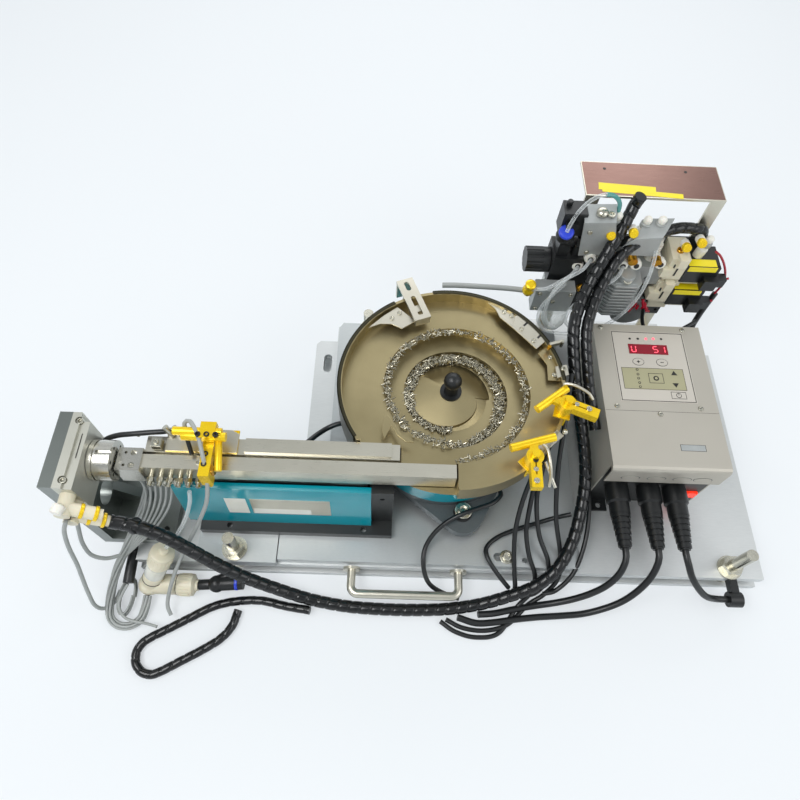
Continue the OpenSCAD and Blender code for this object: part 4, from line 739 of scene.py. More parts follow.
def addFace():
    s = Shape("facePanel")
    x0, y0, x1, y1 = faceSet["frame"]
    s.box((x0, y0, lidZ), (x1, y1, lidZ + 0.3))
    z = lidZ + 0.3
    outlineBox(s, "printBlack", (x0 + 1, y0 + 1, x1 - 1, y1 - 1), z, faceSet["line"])
    x0, y0, x1, y1 = faceSet["display"]
    s.use("displayWindow").box((x0, y0, z), (x1, y1, z + 0.5))
    # lit digits: each is up to seven strokes
    digits = {"u": (0, "bcdef"), "five": (3, "acdfg"), "one": (4, "bc")}
    wide, tall = 4.6, 7.6
    for column, strokes in digits.values():
        left = x0 + 3.2 + column * 8.0
        low = (y0 + y1) / 2 - tall / 2
        spots = {"a": (0, 2), "g": (0, 1), "d": (0, 0), "f": (0, 1), "e": (0, 0), "b": (1, 1), "c": (1, 0)}
        for k in strokes:
            i, j = spots[k]
            if k in "agd":
                s.use("digitRed").box((left + 0.5, low + j * tall / 2 - 0.4, z + 0.5),
                                      (left + wide - 0.5, low + j * tall / 2 + 0.4, z + 0.62))
            else:
                s.use("digitRed").box((left + i * wide - 0.4, low + j * tall / 2 + 0.5, z + 0.5),
                                      (left + i * wide + 0.4, low + (j + 1) * tall / 2 - 0.5, z + 0.62))
    for n, at in enumerate(faceSet["ovals"]):
        oval(s.use("printBlack"), at, z, 6.4, 4.8, 0.12)
        oval(s.use("facePanel"), at, z + 0.12, 5.9, 4.3, 0.12)
        s.use("printBlack").box((at[0] - 1.8, at[1] - 0.45, z + 0.24), (at[0] + 1.8, at[1] + 0.45, z + 0.34))
        if n == 0:
            s.box((at[0] - 0.45, at[1] - 1.8, z + 0.24), (at[0] + 0.45, at[1] + 1.8, z + 0.34))
    s.use("khakiPanel").box((*faceSet["panel"][:2], z), (*faceSet["panel"][2:], z + 0.2))
    outlineBox(s, "printBlack", faceSet["panel"], z + 0.2, 0.35)
    outlineBox(s, "printBlack", faceSet["key"], z + 0.2, 0.45)
    outlineBox(s, "printBlack", faceSet["power"], z, 0.45)
    at = ((faceSet["key"][0] + faceSet["key"][2]) / 2, (faceSet["key"][1] + faceSet["key"][3]) / 2)
    oval(s, at, z + 0.2, 3.0, 3.0, 0.15)
    oval(s.use("khakiPanel"), at, z + 0.35, 1.6, 1.6, 0.1)
    at = (230.6, -2.4)
    oval(s.use("printBlack"), at, z, 2.9, 2.9, 0.12)
    oval(s.use("facePanel"), at, z + 0.12, 2.3, 2.3, 0.1)
    s.use("printBlack").box((at[0] - 0.3, at[1], z + 0.22), (at[0] + 0.3, at[1] + 2.9, z + 0.3))
    for x, y, way in ((230.1, 24.8, 1), (229.6, 10, -1)):
        s.slab([(x - 3.4, y - 2.4 * way), (x + 3.4, y - 2.4 * way), (x, y + 3 * way)][::way], z + 0.2, z + 0.35)
    for x, y in faceSet["leds"]:
        oval(s.use("printBlack"), (x, y), z + 0.2, 1.5, 1.5, 0.12, 14)
        oval(s.use("khakiPanel"), (x, y), z + 0.32, 0.8, 0.8, 0.1, 14)
    for n, (x, y) in enumerate(faceSet["dots"]):
        oval(s.use("digitRed" if n in (2, 3) else "printBlack"), (x, y), z, 1.4, 1.4, 0.15, 14)
    s.done("control_face", "base", "champagne_cover", bevel=0)


addFace()

# the lid's screws, seam and slot, and the oval blanks pressed in its front
lidSet = {"screws": [(162.9, -17.5), (207, -25.6), (251, -17.1), (158, 82), (250, 82)], "seam": -22.5,
          "ovals": [173.2, 200, 226.5, 247.6], "ovalZ": 111, "front": -88.8}


def addLidFittings():
    s = Shape("zincPlate")
    for x, y in lidSet["screws"]:
        s.lathe((x, y, lidZ), (0, 0, 1), [(2.9, 0), (2.9, 0.5), (2.2, 1.3), (0.6, 1.5)])
        # black bar across each head: painted shade in its slot
        s.use("printBlack").bar((x - 1.6, y - 0.6, lidZ + 1.45), (x + 1.6, y + 0.6, lidZ + 1.45), 0.6, 0.2)
        s.use("zincPlate")
    y = lidSet["seam"]
    s.use("printBlack").box((149.9, y, lidZ), (269.1, y + 0.3, lidZ + 0.06))
    # the slot: a black box under a smaller aluminium one, its dark border painted shade along the slot's edges
    s.box((221, -66.6, lidZ), (247, -59.4, lidZ + 0.05))
    s.use("castAluminium").box((221.5, -66.2, lidZ + 0.05), (246.5, -59.8, lidZ + 0.08))
    # the lid's rolled front edge, coming down to the black face with its sockets
    front = lidSet["front"]
    edge = [(-81, 132.1), (-84.5, 131.8), (-87, 130.4), (-88.4, 128), (front, 125), (front, 100), (-87.6, 100),
            (-87.6, 124), (-82.2, 128)]
    s.use("metallicEnamel").prism([(149.5, y, z) for y, z in edge], (120, 0, 0))
    for x in lidSet["ovals"]:
        turns = [2 * math.pi * k / 24 for k in range(24)]
        # the grey ring a little wider than each blank is painted shade in the crease round it
        for grow, finish, deep in ((1.1, "greyCasting", 0.08), (1.0, "metallicEnamel", 0.35)):
            s.use(finish).prism([(x + 9 * grow * math.cos(a), front, lidSet["ovalZ"] + 4.6 * grow * math.sin(a))
                                 for a in turns], (0, -deep, 0))
    s.done("lid_fittings", "base", "champagne_cover", bevel=0.1)


addLidFittings()
print("controller fitted")
# valve cluster behind the bowl, from the pressure head on the left to the coils on the right
clusterSet = {
    "head": ((94, 136, 216), (118, 156, 246)),
    "ports": [(124, 178.4), (134.7, 189.8), (172.5, 181.4), (186.8, 182.3), (211.8, 186)],
    "fittings": [(152.5, 237.6), (184.3, 233.9), (199.2, 234.7), (259.9, 210)],
    "knobs": [(146.1, 225.2), (168.1, 229.4), (230.2, 212), (243.2, 219.3)],
    "ferrules": [(193.7, 132.3), (205.4, 125.5), (213.7, 128.6), (218.9, 118.8), (199, 121)],
    "valves": [(226, 188.5, 160), (226, 149.5, 120)],
}


def addPressureHead():
    s = Shape("blackNylon")
    s.box(*clusterSet["head"])
    s.ball((100, 134, 219), 9).rod((100, 134, 219), (112, 140, 205), 7.5)
    up = Vector((-0.05, -0.45, 1)).normalized()
    s.use("blueAcetal").lathe(Vector((100, 134, 219)) + 7 * up, up, [(7.8, 0), (7.8, 2.6), (6.8, 4), (3.4, 4.2)])
    s.use("blackNylon").rod((100, 150, 246), (100, 150, 251), 3)
    s.done("pressure_head", "base", "black_plastic", bevel=0.6)


def addPlates():
    # bent grey sheets that carry the fittings
    s = Shape("castAluminium")
    s.prism([(114, 130, 240), (146, 130, 242), (160, 130, 197), (121, 130, 193)], (0, 1.5, 0))
    s.prism([(114, 130, 240), (146, 130, 242), (148, 152, 246), (116, 152, 244)], (0, 0, 1.5))
    s.prism([(156, 128, 200), (170, 128, 222), (199, 128, 226), (201, 128, 199)], (0, 1.5, 0))
    s.prism([(170, 128, 222), (199, 128, 226), (214, 152, 230), (186, 152, 228)], (0, 0, 1.5))
    s.use("zincPlate").screw((141, 138, 245.4), (0, 0, 1), 4, 2.2)
    s.screw((123, 129.9, 229), (0, -1, 0), 2.6, 1.6).screw((128, 129.9, 200), (0, -1, 0), 2.6, 1.6)
    s.lathe((132, 140, 245), (0, 0, 1), [(6, 0), (6, 3), (4, 5), (1, 5.2)])
    s.done("fitting_plates", "base", "aluminium", bevel=0.4)


def addFittings():
    s = Shape("whiteAcetal")
    for x, z in clusterSet["fittings"]:
        top = Vector((x, 146, z))
        axis = Vector((0.12, 0, 1)).normalized()
        s.use("whiteAcetal").lathe(top - 26 * axis, axis, [(5.6, 0), (5.6, 12), (4.6, 13), (4.6, 16)])
        s.use("greyVinyl").lathe(top - 10 * axis, axis, [(5, 0), (5.4, 1), (5.4, 5), (4.6, 6)])
        s.use("whiteAcetal").lathe(top - 4 * axis, axis, [(3.9, 0), (4.3, 2), (4.3, 5), (2.6, 7), (1.4, 7.2)])
    for x, z in clusterSet["knobs"]:
        at, axis = Vector((x, 131, z)), Vector((-0.2, -1, 0.45)).normalized()
        s.use("whiteAcetal").lathe(at + axis * -12, axis, [(4.8, 0), (4.8, 9)])
        s.use("goldAnodised").lathe(at - axis * 3, axis, [(3.6, 0), (4.9, 1), (4.9, 6), (4, 7.4), (1, 7.6)], 16)
    for x, z in clusterSet["ports"]:
        s.use("whiteAcetal").lathe((x, 134, z), (0, -1, 0.25), [(6.4, 0), (6.4, 5), (5.4, 7), (3.2, 7.2)])
        s.use("printBlack").lathe((x, 126.9, z + 1.7), (0, -1, 0.25), [(3.0, 0), (3.0, 0.3)])
    s.done("push_fittings", "base", "white_plastic", bevel=0.2)


def addValves():
    s = Shape("creamNylon")
    for left, top, low in clusterSet["valves"]:
        mid = (top + low) / 2
        s.use("creamNylon").box((left - 4, 128, low + 4), (left + 16, 160, top + 8))
        s.box((left - 10, 124, mid - 3), (left + 2, 134, mid + 9)).box((left + 2, 122, top), (left + 12, 132, top + 12))
        s.use("printBlack").box((left + 1, 127.7, low + 10), (left + 3, 128.1, top))
        s.box((left + 6, 127.7, low + 10), (left + 8, 128.1, top))
        s.use("blackNylon").box((left + 17, 128, low), (left + 54, 160, top - 4))
        s.use("yellowLabel").box((left + 19, 127.6, mid + 4), (left + 50, 128.2, mid + 11))
        s.box((left + 19, 130, top - 4), (left + 50, 140, top - 3.8))
        s.use("blackNylon").box((left + 40, 120, low - 4), (left + 56, 130, mid - 3))
        s.box((left + 55, 124, low - 2), (left + 66, 134, mid - 4))
        s.use("redVinyl").rod((left + 65, 129, mid - 8), (left + 70, 129, mid - 6), 1.3)
        s.use("brass").screw((left + 6, 140, top + 8), (0, 0, 1), 4, 3)
    s.done("valve_dress", "base", "cream_plastic", bevel=0.5)


def addSilencer():
    # sintered and finned: a stack of thin plates
    s = Shape("castAluminium")
    for n in range(10):
        z = 120 + 5.4 * n
        s.slab([(160, 114), (166, 108), (190, 108), (196, 114), (196, 132), (160, 132)], z, z + 2.8)
    s.use("castAluminium").box((166, 112, 118), (190, 130, 172))
    s.rod((178, 120, 172), (178, 120, 180), 9)
    s.use("zincPlate").screw((178, 114, 176), (0, -0.6, 1), 5, 2)
    s.use("blackNylon").lathe((229, 136, 126), (0, -1, 0), [(12, 0), (12, 1.2), (10.5, 1.6), (2, 1.7)])
    s.done("finned_silencer", "base", "aluminium", bevel=0.4)


def addFerrules():
    s = Shape("redVinyl")
    rng = random.Random(3)
    for x, z in clusterSet["ferrules"]:
        way = Vector((rng.uniform(-1, 1), -0.4, rng.uniform(-0.8, 0.8))).normalized()
        s.rod(Vector((x, 121, z)) - 5 * way, Vector((x, 121, z)) + 5 * way, 1.7)
        s.rod(Vector((x + 3, 119, z - 2)) - 4 * way, Vector((x + 3, 119, z - 2)) + 4 * way, 1.4)
    s.done("wire_ferrules", "base", "red_plastic", bevel=0)


def addFilterBlock():
    # aluminium block with its clear bowl and a golden fitting to the left
    s = Shape("castAluminium")
    s.box((82, 108, 124), (126, 124, 160))
    s.use("zincPlate")
    for x, z in ((87, 155), (121, 155), (87, 129), (104, 142)):
        s.screw((x, 108, z), (0, -1, 0), 2.6, 1.6)
    s.use("clearBowl").lathe((113, 114, 123), (0, -0.25, -1), [(14, 0), (14.5, 8), (13.5, 18), (9, 26), (3, 29)])
    s.use("goldAnodised").lathe((74, 112, 152), (0, -0.2, 1),
                                [(5, 0), (6.5, 2), (6.5, 7), (5, 9), (5, 13), (6, 14), (6, 18),
                                                            (3, 19)], 12)
    s.use("goldAnodised").ball((74, 111, 153), 5)
    s.use("brass").lathe((131, 118, 158), (0.3, -1, 0.3), [(4, 0), (5, 2), (5, 6), (2, 7)], 12)
    s.done("filter_block", "base", "aluminium", bevel=0.4)


addPressureHead()
addPlates()
addFittings()
addValves()
addSilencer()
addFerrules()
addFilterBlock()
print("cluster fitted")

# free tubes and leads that the solids leave out: points in mm, radius, finish, far end
tubes = {
    "arc_clear": dict(line=[(99.2, 128.4, 229.6), (101, 131, 237), (107, 138, 247), (116, 144, 256), (126, 148, 260.5),
                            (133, 149.5, 261.3)],
                      r=2, finish="clearTube"),
    "arc_teal": dict(line=[(133, 149.5, 261.3), (139, 150, 260.4), (145, 150, 256.5), (149.5, 150, 250),
                           (151, 149, 241), (149, 147, 232)],
                     r=2.3, finish="tealTube", far="object", slot="white_plastic"),
    "loop_near": dict(line=[(112, 111, 170), (100, 104, 158), (91, 100, 140), (92, 98, 120), (103, 97, 103),
                            (122, 98, 95),
                            (146, 99, 96), (164, 101, 102), (180, 104, 115), (191, 107, 134), (197, 110, 155),
                            (199, 114, 178), (199, 122, 200), (199.5, 136, 216)],
                      r=2, finish="clearTube"),
    "loop_mid": dict(line=[(172.5, 126, 183), (164, 112, 182), (150, 104, 176), (134, 101, 160), (124, 100, 140),
                           (124, 100, 118), (131, 101, 106)],
                     r=2, finish="clearTube", far="bare"),
    "loop_left": dict(line=[(124, 126, 180), (114, 112, 182), (101, 106, 176), (90, 104, 168), (80, 107, 163),
                            (75, 109, 158)],
                      r=2, finish="clearTube"),
    "loop_far": dict(line=[(134.7, 126, 192), (122, 108, 196), (106, 102, 186), (97, 99, 166), (95, 97, 143),
                           (101, 96, 121), (112, 96, 110)],
                     r=2, finish="clearTube"),
    "behind_bowl": dict(line=[(70, 114, 152), (58, 116.5, 150.5), (40, 117.8, 150), (14, 118.4, 150), (-6, 118.6, 150),
                              (-20, 119.5, 148)],
                        r=3, finish="greyVinyl", far="bare"),
    "red_lead": dict(line=[(266.5, 135, 203), (274, 135, 197), (283, 135, 186), (291.5, 135, 172), (297, 135, 158),
                           (298.4, 135, 146), (296, 134, 134)],
                     r=1.3, finish="redVinyl", far="object", slot="red_plastic"),
    "coil_lead": dict(line=[(297, 134, 136), (295, 132, 122), (292, 128, 106), (289, 122, 90), (286, 113, 76),
                            (282, 102, 66), (276, 92, 60)],
                      r=3.4, finish="blackVinyl", far="bare"),
    "plate_lead": dict(line=[(216, 118, 122), (218, 112, 110), (224, 106, 100), (236, 103, 96), (250, 103, 97),
                             (264, 106, 99), (276, 112, 101), (286, 118, 103)],
                       r=2.2, finish="blackVinyl", far="bare"),
}


# the slot looked up for a lead from its material, where it names none
leadSlots = {"greyVinyl": "grey_cable", "blackVinyl": "black_wrap", "clearTube": "white_plastic"}


def addTube(name, t):
    path = [p * milli for p in smoothPath(t["line"], 3.0)]
    curve = bpy.data.curves.new(name, "CURVE")
    curve.dimensions = "3D"
    curve.bevel_depth = t["r"] * milli
    curve.bevel_resolution = 3
    curve.use_fill_caps = True
    line = curve.splines.new("POLY")
    line.points.add(len(path) - 1)
    for point, at in zip(line.points, path):
        point.co = (*at, 1)
    curve.materials.append(looks[t["finish"]])
    obj = place(bpy.data.objects.new(name, curve), "base", t.get("slot") or leadSlots[t["finish"]])


for name, t in tubes.items():
    addTube(name, t)
print("tubes laid")

# dark rim of the bowl, thick as the cast wall, from the track round the far side to the plates
rimSet = {"inner": 110.2, "outer": 114.0, "from": 214, "to": 4, "low": 130, "top": 168.8}


def arcOutline(r0, r1, a0, a1, count):
    turns = [math.radians(a0 + (a1 - a0) * k / count) for k in range(count + 1)]
    far = [(bowlAt[0] + r1 * math.cos(a), bowlAt[1] + r1 * math.sin(a)) for a in turns]
    near = [(bowlAt[0] + r0 * math.cos(a), bowlAt[1] + r0 * math.sin(a)) for a in reversed(turns)]
    return far + near


def addRim():
    s = Shape("darkBowl")
    for a0, a1 in ((rimSet["from"], 122), (100, rimSet["to"])):
        s.slab(arcOutline(112.7, rimSet["outer"], a0, a1, 60), rimSet["low"], rimSet["top"])
        s.slab(arcOutline(rimSet["inner"], rimSet["outer"], a0, a1, 60), 168.1, rimSet["top"])
    # ledge plate that carries the screws off the spiral to the track
    s.use("champagneBowl").slab(crescent["outline"], crescent["z"] - 1.4, crescent["z"])
    s.done("bowl_rim", "bowl_body", "bowl_anodised", bevel=0.3)


crescent = {"outline": [(-80, -57), (-81, -70), (-78.5, -80), (-72.0, -65.8), (-66.3, -75), (-58, -82), (-50, -82),
                        (-62, -76), (-70, -62), (-76, -54)], "z": 163}
addRim()

# screws of the track, its actuator and the golden clamp
trackScrews = [((-308, -115.7, 162), (0, 0, 1), 2.6), ((-308, -84, 162), (0, 0, 1), 2.6)]


def addTrackFittings():
    s = Shape("zincPlate")
    for at, axis, r in trackScrews:
        s.screw(at, axis, r, 1.6)
    for x, y in ((-246, -93), (-238, -93), (-230, -93)):
        s.use("blackNylon").screw((x, y, 185), (0, 0, 1), 2.6, 3)
    s.use("brightStrip").prism([(-281.2, -99.2, 161.5), (-214.8, -99.2, 161.5), (-214.8, -80, 161.5),
                                (-222, -75.9, 161.5),
                                (-275, -75.9, 161.5), (-281.2, -80, 161.5)], (0, 0, 0.3))
    s.use("goldAnodised").rod((-262, -92, 180), (-222, -92, 180), 4.4, count=16)
    s.rod((-229, -94, 176), (-226, -122, 172), 3.4, count=16).box((-243, -124, 166), (-235, -100, 174))
    s.use("blackNylon").screw((-239, -117, 174), (0, 0, 1), 2.6, 2.4).screw((-239, -107, 174), (0, 0, 1), 2.6, 2.4)
    s.rod((-258, -92, 180), (-254, -104, 166), 2.0)
    s.use("brass").rod((-233, -120, 163), (-233, -120, 174), 3.4, count=14)
    # nozzles under the front rail
    for k in range(5):
        x = -295 + 11 * k
        s.use("zincPlate").lathe((x, -121, 139), (0, -0.35, -1),
                                 [(1.6, -4), (2.6, -2), (2.6, 3), (1.6, 4), (1.6, 6)], 12)
    s.use("zincPlate")
    for x in (-276, -268):
        s.rod((x, -84, 162), (x - 6, -80, 172), 3, count=14)
    s.box((-292, -99, 161.6), (-283, -90, 170)).screw((-287.5, -94.5, 170), (0, 0, 1), 2.4, 2)
    s.screw((-248, -110, 161.5), (0, 0, 1), 2.4, 1.2).screw((-190, -92, 158.6), (0, 0, 1), 2.4, 0.8)
    for x in (-170, -150, -120, -95):
        s.screw((x, -92, 158.6), (0, 0, 1), 1.8, 0.7)
    s.done("track_fittings", "line", "gold_anodised", bevel=0.2)


def addHeadFittings():
    s = Shape("zincPlate")
    s.screw((-353, -141, 183), (0, 0, 1), 3.2, 4).screw((-353, -84, 183), (0, 0, 1), 3.2, 4)
    s.use("printBlack").box((-348.3, -120, 185.2), (-347.6, -96, 185.5))
    # elbow collars with their golden rings, and the white blanks beside them
    for z in (172, 154):
        at, way = Vector((-352, -161, z)), Vector((math.cos(math.radians(30)), 0, -0.5))
        for far in (12, 24):
            s.use("goldAnodised").lathe(at + far * way, way, [(5.5, 0), (6.9, 0.8), (6.9, 3.2), (5.5, 4)])
    s.use("whiteAcetal").lathe((-352, -161, 180), (-0.3, -1, 0), [(4, 0), (5.5, 1), (5.5, 8), (3, 9)])
    s.use("blackNylon").rod((-352, -161, 163), (-352, -168, 163), 3.4)
    s.done("head_fittings", "base", "white_plastic", bevel=0.2)


addTrackFittings()
addHeadFittings()

# two vacuum filters with ribbed caps, seals and a nozzle, and the black branch piece beside them
filterSet = {"joint": (-321, -188, 12), "lean": (24, 20, 52)}


def ribbed(s, at, axis, r, low, high, ribs=22):
    u, v, w = sides(axis)
    for k in range(ribs):
        a = 2 * math.pi * k / ribs
        out = math.cos(a) * u + math.sin(a) * v
        s.bar(Vector(at) + low * w + r * out, Vector(at) + high * w + r * out, 0.9, 0.9, up=out)


def addFilters():
    s = Shape("creamNylon")
    joint, lean = Vector(filterSet["joint"]), Vector(filterSet["lean"])
    way = lean.normalized()
    ribbed(s, joint, way, 12.1, 50, 57)
    s.lathe(joint + lean, way, [(12, 0), (10, 1.5), (5, 2), (5, 6), (3.4, 7)])
    s.use("clearTube").lathe(joint, way, [(10.7, 22), (10.7, 40)])
    s.use("printBlack").lathe(joint + 42.5 * way, way, [(10.9, 0), (10.9, 1)]).lathe(joint + 12 * way, way,
                                                                                  [(10.9, 0), (10.9, 1)])
    across = Vector((1, 0, 0))
    ribbed(s.use("creamNylon"), joint, across, 11.5, 33, 43)
    s.use("printBlack").lathe(joint + 29 * across, across, [(10.9, 0), (10.9, 1)])
    s.use("creamNylon").lathe(joint + 46 * across, across, [(11, 0), (8, 2), (6, 2.2), (6, 5)])
    s.use("blackNylon").rod((-269, -188, 13), (-252, -187, 15), 5.5).ball((-250, -187, 16), 9)
    s.rod((-250, -187, 16), (-222, -185, 18), 7.5).rod((-250, -183, 16), (-232, -176, 18), 5)
    s.use("blueAcetal").lathe((-230, -185, 17.5), (1, 0, 0.05), [(8.3, 0), (8.3, 3), (6, 3.4)])
    s.use("blackNylon").rod((-341, -160, 24), (-341, -190, 21), 5.6).lathe((-341, -160, 24), (0, 1, 0.12),
                                                                         [(5, 0), (6.2, 2), (4, 8), (2, 10)])
    s.use("brass").rod((-338, -145, 27), (-331, -136, 33), 2.6)
    # a knotted strap holds the wrapped bundle and the grey leads together
    s.use("blackNylon").lathe((-306, -161, 127.5), (1, 0, 0.5), [(7.6, -2.5), (7.9, -2), (7.9, 2), (7.6, 2.5)])
    s.done("filter_dress", "base", "cream_plastic", bevel=0.15)


addFilters()

# bare labels on the teal cover and the bracket, flat against each
labelSet = {"front": ((-234, -213), (-209, -130)), "low": 74, "high": 108}


def coverAt(z):
    # the leaning front of the teal cover at a height
    return -128.7 + 6 * (z - 50) / 80.5


def addLabels():
    s = Shape("whiteAcetal")
    for n, (x0, x1) in enumerate(labelSet["front"]):
        a, b = labelSet["low"], labelSet["high"]
        s.use("whiteAcetal" if n == 0 else "brightStrip")
        s.prism([(x0, coverAt(a), a), (x1, coverAt(a), a), (x1, coverAt(b), b), (x0, coverAt(b), b)], (0, -0.25, 0))
    x0, x1 = labelSet["front"][1]
    s.use("whiteAcetal").prism([(x0 + 1, coverAt(75) - 0.25, 75), (x1 - 20, coverAt(75) - 0.25, 75),
                                (x1 - 20, coverAt(86) - 0.25, 86), (x0 + 1, coverAt(86) - 0.25, 86)], (0, -0.1, 0))
    # painted pinkish-brown reflection on the bracket's top, laid as a thin sheet, with its two holes
    s.use("paintedReflectionSheet").box((118.8, 164.5, 247), (262.2, 212.2, 247.1))
    # black discs in the two holes: painted shade inside them
    for x in (142, 228):
        s.use("printBlack").rod((x, 203, 247.05), (x, 203, 247.25), 1.7, count=12)
    s.use("yellowLabel").slab([(133, 182), (192, 178.5), (191, 168.5), (132, 172)], 247.05, 247.3)
    s.slab([(136, 175.5), (219, 170), (218.4, 163.4), (135.4, 169)], 247.05, 247.25)
    s.done("bare_labels", "base", "white_plastic", bevel=0)


addLabels()
print("left side fitted")

tubesLeft = {
    "head_lead": dict(line=[(-352, -170, 163), (-357, -176, 150), (-363, -182, 122), (-366, -190, 90), (-369, -205, 48),
                            (-369, -214, 22), (-364, -214, 8), (-357, -206, 4), (-354, -194, 3.4)],
                      r=2, finish="greyVinyl"),
    "head_lead_low": dict(line=[(-352, -161, 146), (-356, -166, 128), (-361, -172, 102), (-360, -177, 80),
                                (-352, -176, 64),
                                (-343, -170, 54)],
                          r=2, finish="greyVinyl", far="bare"),
    "clamp_arch": dict(line=[(-260, -86, 176), (-261.5, -80, 181), (-256, -79, 184), (-246.5, -93, 184),
                             (-240, -111, 179),
                             (-238, -126, 160), (-243, -138, 132), (-257, -150, 100), (-273, -164, 70),
                             (-286, -179, 46), (-295, -197, 26), (-298, -210, 14), (-294, -219, 9)],
                       r=2, finish="greyVinyl", far="bare"),
    "clear_drop": dict(line=[(-262, -126, 128), (-264, -132, 114), (-270, -142, 98), (-279, -153, 84), (-288, -161, 74),
                             (-293, -165, 70)],
                       r=2, finish="clearTube"),
    "column_tube": dict(line=[(-344, -88, 150), (-338, -87, 157), (-326, -86, 163), (-312, -85.5, 166),
                              (-297, -84, 167),
                              (-284, -82.5, 167), (-276, -80, 166)],
                        r=2.6, finish="blackVinyl", far="bare"),
    "loop_thin": dict(line=[(-341, -191, 21), (-346, -200, 17), (-349, -211, 12), (-342, -222, 11), (-332, -226, 10),
                            (-318, -228, 9), (-306, -231, 10)],
                      r=1.5, finish="greyVinyl", far="bare"),
    "right_strand_a": dict(line=[(113, 8, 150), (105, -38, 138), (101, -80, 108), (104, -120, 72), (112, -150, 46),
                                 (112, -172, 30), (100, -186, 14), (82, -197, 5), (60, -217, 3.5), (36, -224, 3.5),
                                 (12, -222, 3.5), (-6, -214, 4)],
                           r=2.5, finish="blackVinyl", far="bare"),
    "right_strand_b": dict(line=[(146, -58, 62), (145, -92, 62), (142, -122, 56), (136, -148, 46), (126, -170, 34),
                                 (110, -184, 22), (96, -188, 22)],
                           r=2.5, finish="blackVinyl", far="bare"),
    "right_strand_c": dict(line=[(95, -52, 110), (88, -78, 94), (84, -104, 76), (88, -134, 58), (98, -158, 46),
                                 (100, -174, 32), (90, -186, 22), (78, -190, 18)],
                           r=2.5, finish="blackVinyl", far="bare"),
    "right_strand_d": dict(line=[(74, -88, 112), (66, -110, 90), (62, -132, 66), (62, -152, 50), (64, -170, 36),
                                 (66, -184, 24), (62, -189, 22)],
                           r=2.5, finish="blackVinyl", far="bare"),
    "right_strand_e": dict(line=[(80, -84, 104), (76, -108, 84), (74, -132, 62), (78, -154, 48), (86, -172, 34),
                                 (84, -186, 20), (70, -200, 6), (50, -226, 3), (26, -231, 3), (4, -226, 3),
                                 (-12, -216, 3.5)],
                           r=2.5, finish="blackVinyl", far="bare"),
}
for name, t in tubesLeft.items():
    addTube(name, t)


# grey lead coiled on the table beside the filters
coilSet = {"at": (-344.5, -200.5, 2.2), "half": (7.5, 19), "turns": 4, "rise": 2.3, "r": 1.0}


def coilLine():
    c = coilSet
    out = []
    for k in range(c["turns"] * 24 + 1):
        a = 2 * math.pi * k / 24
        grow = 1 + 0.06 * math.sin(1.7 * a)
        out.append((c["at"][0] + c["half"][0] * grow * math.cos(a), c["at"][1] + c["half"][1] * grow * math.sin(a),
                    c["at"][2] + c["rise"] * k / 24))
    return out


addTube("grey_coil", dict(line=coilLine(), r=coilSet["r"], finish="greyVinyl", far="bare", lay="coiled",
                          slot="grey_cable"))
print("left leads laid")

# thin leads from the nozzles, falling together into the tied bundle
for k in range(6):
    addTube(f"nozzle_lead_{k + 1}", dict(
        line=[(-308 + 6 * k, -118, 137), (-308 + 5.6 * k, -120, 122 + k), (-311 + 5 * k, -124 - k, 104),
              (-318 + 4.2 * k, -133 - k, 84), (-328 + 3 * k, -144 - k, 65), (-340 + 1.6 * k, -158, 46),
              (-349 + 0.4 * k, -168, 34)],
        r=1.3, finish="greyVinyl"))


# bolts through the rubber feet of the drive, and one in the slot of the deck
boltSet = {"pcd": 100, "turn": -78.5, "r": 6.5, "tall": 4.5, "slot": (56, -155)}


def addDeckBolts():
    b = boltSet
    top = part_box("rubber_feet")[1][2] / milli
    s = Shape("zincPlate")
    for k in range(3):
        a = math.radians(b["turn"] + 120 * k)
        x, y = bowlAt[0] + b["pcd"] * math.cos(a), bowlAt[1] + b["pcd"] * math.sin(a)
        s.lathe((x, y, top), (0, 0, 1), [(4, -1), (9, -1), (9, 0.6), (6, 0.8)], 32)
        s.screw((x, y, top + 0.4), (0, 0, 1), b["r"], b["tall"])
    x, y = b["slot"]
    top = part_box("deck_plates")[1][2] / milli
    s.lathe((x, y, top), (0, 0, 1), [(3, -1), (7.5, -1), (7.5, 1.2), (4, 1.3)], 32)
    s.screw((x, y, top + 1), (0, 0, 1), 5, 5)
    s.done("drive_bolts", "base", "screw_steel", bevel=0.3)


addDeckBolts()
print("leads and bolts laid")
# sky: pale at the horizon, with soft bright and dim bands overhead for metal to mirror
skySet = {"pale": "#f4f8fb", "dim": "#aab0b4", "strength": 0.88}

# a pale floor under everything, wide enough to fill the view
floorSet = {"half": 4000, "glow": 0.5}


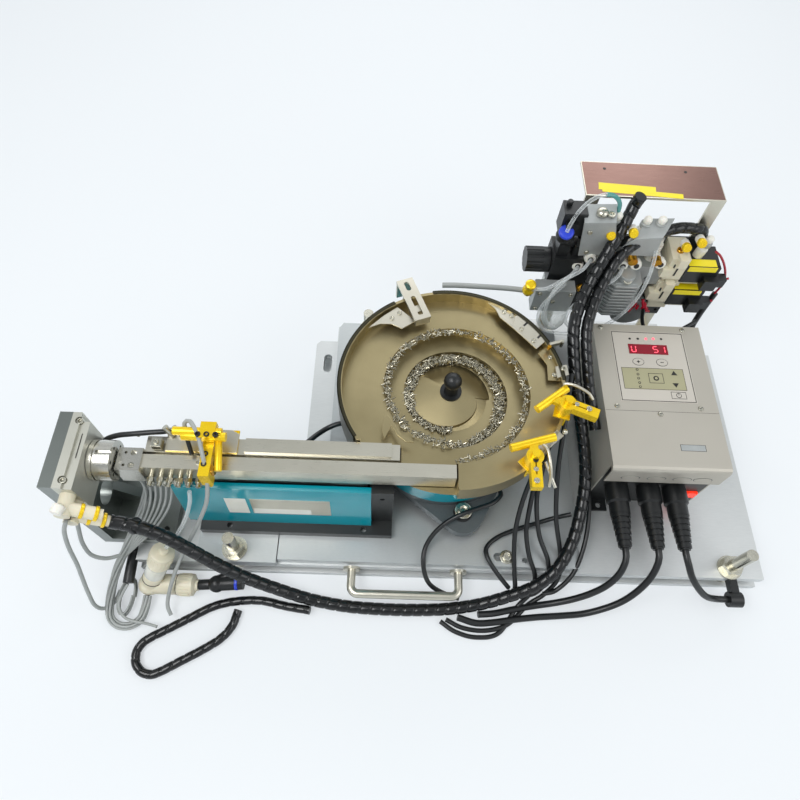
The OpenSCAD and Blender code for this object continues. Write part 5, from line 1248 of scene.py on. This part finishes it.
def addFloor():
    m = bpy.data.materials.new("floorPaper")
    m.use_nodes = True
    t = m.node_tree
    t.nodes.clear()
    where = addNode(t, "ShaderNodeTexCoord").outputs["Object"]
    cloud = addNode(t, "ShaderNodeTexNoise", {"Scale": 3.0}, {"Vector": where})
    colour = addNode(t, "ShaderNodeMix", {"data_type": "RGBA", 6: hexColour("#e3e7ea"), 7: hexColour("#e5e9ec")},
                     {0: cloud.outputs[0]})
    paper = addNode(t, "ShaderNodeBsdfDiffuse", None, {"Color": colour.outputs[2]})
    glow = addNode(t, "ShaderNodeEmission", {"Color": hexColour(skySet["pale"]), "Strength": 1.0})
    seen = addNode(t, "ShaderNodeLightPath")
    some = addNode(t, "ShaderNodeMath", {"operation": "ADD", "use_clamp": True},
                   {0: seen.outputs["Is Camera Ray"], 1: seen.outputs["Is Transmission Ray"]})
    share = addNode(t, "ShaderNodeMath", {"operation": "MULTIPLY", 1: floorSet["glow"]}, {0: some.outputs[0]})
    both = addNode(t, "ShaderNodeMixShader", None, {0: share.outputs[0], 1: paper.outputs[0], 2: glow.outputs[0]})
    addNode(t, "ShaderNodeOutputMaterial", None, {0: both.outputs[0]})
    h, z = floorSet["half"] * milli, cadBox[0][2]
    mesh = bpy.data.meshes.new("floor")
    mesh.from_pydata([(-h, -h, z), (h, -h, z), (h, h, z), (-h, h, z)], [], [(0, 1, 2, 3)])
    mesh.materials.append(m)
    floor = bpy.data.objects.new("floor", mesh)
    scene.collection.objects.link(floor)


addFloor()

def addSky():
    world = bpy.data.worlds.new("sky")
    scene.world = world
    world.use_nodes = True
    t = world.node_tree
    t.nodes.clear()
    way = addNode(t, "ShaderNodeTexCoord").outputs["Generated"]
    bands = addNode(t, "ShaderNodeTexNoise", {"Scale": 2.6, "Detail": 1.0}, {"Vector": way})
    split = addNode(t, "ShaderNodeSeparateXYZ", None, {0: way})
    high = addNode(t, "ShaderNodeMapRange", {1: 0.15, 2: 0.55}, {0: split.outputs["Z"]})
    crisp = addNode(t, "ShaderNodeMapRange", {1: 0.44, 2: 0.56}, {0: bands.outputs[0]})
    share = addNode(t, "ShaderNodeMath", {"operation": "MULTIPLY"}, {0: high.outputs[0], 1: crisp.outputs[0]})
    colour = addNode(t, "ShaderNodeMix", {"data_type": "RGBA", 6: hexColour(skySet["pale"]),
                                          7: hexColour(skySet["dim"])}, {0: share.outputs[0]})
    back = addNode(t, "ShaderNodeBackground", {"Strength": skySet["strength"]}, {0: colour.outputs[2]})
    plain = addNode(t, "ShaderNodeBackground", {0: hexColour(skySet["pale"]), "Strength": 1.0})
    seen = addNode(t, "ShaderNodeLightPath")
    some = addNode(t, "ShaderNodeMath", {"operation": "ADD", "use_clamp": True},
                   {0: seen.outputs["Is Camera Ray"], 1: seen.outputs["Is Transmission Ray"]})
    both = addNode(t, "ShaderNodeMixShader", None, {0: some.outputs[0], 1: back.outputs[0], 2: plain.outputs[0]})
    addNode(t, "ShaderNodeOutputWorld", None, {0: both.outputs[0]})


addSky()

# softboxes: place, aim, size in mm and power in watts
softboxes = {
    "key": dict(at=(-700, -500, 1500), aim=(-30, -40, 80), size=(900, 700), power=13),
    "fill": dict(at=(1100, -500, 1100), aim=(60, -40, 80), size=(900, 900), power=5),
    "rim": dict(at=(100, 1200, 1000), aim=(0, 0, 120), size=(1300, 500), power=5),
}
for name, b in softboxes.items():
    data = bpy.data.lights.new(name, "AREA")
    data.shape = "RECTANGLE"
    data.size, data.size_y = (v * milli for v in b["size"])
    data.energy = b["power"]
    lamp = bpy.data.objects.new(name, data)
    scene.collection.objects.link(lamp)
    u, v, w = sides(Vector(b["at"]) - Vector(b["aim"]))
    turned = Matrix((u, v, w)).transposed().to_4x4()
    lamp.matrix_world = Matrix.Translation(Vector(b["at"]) * milli) @ turned
scene.view_settings.view_transform = "Standard"
print("floor and lights set")
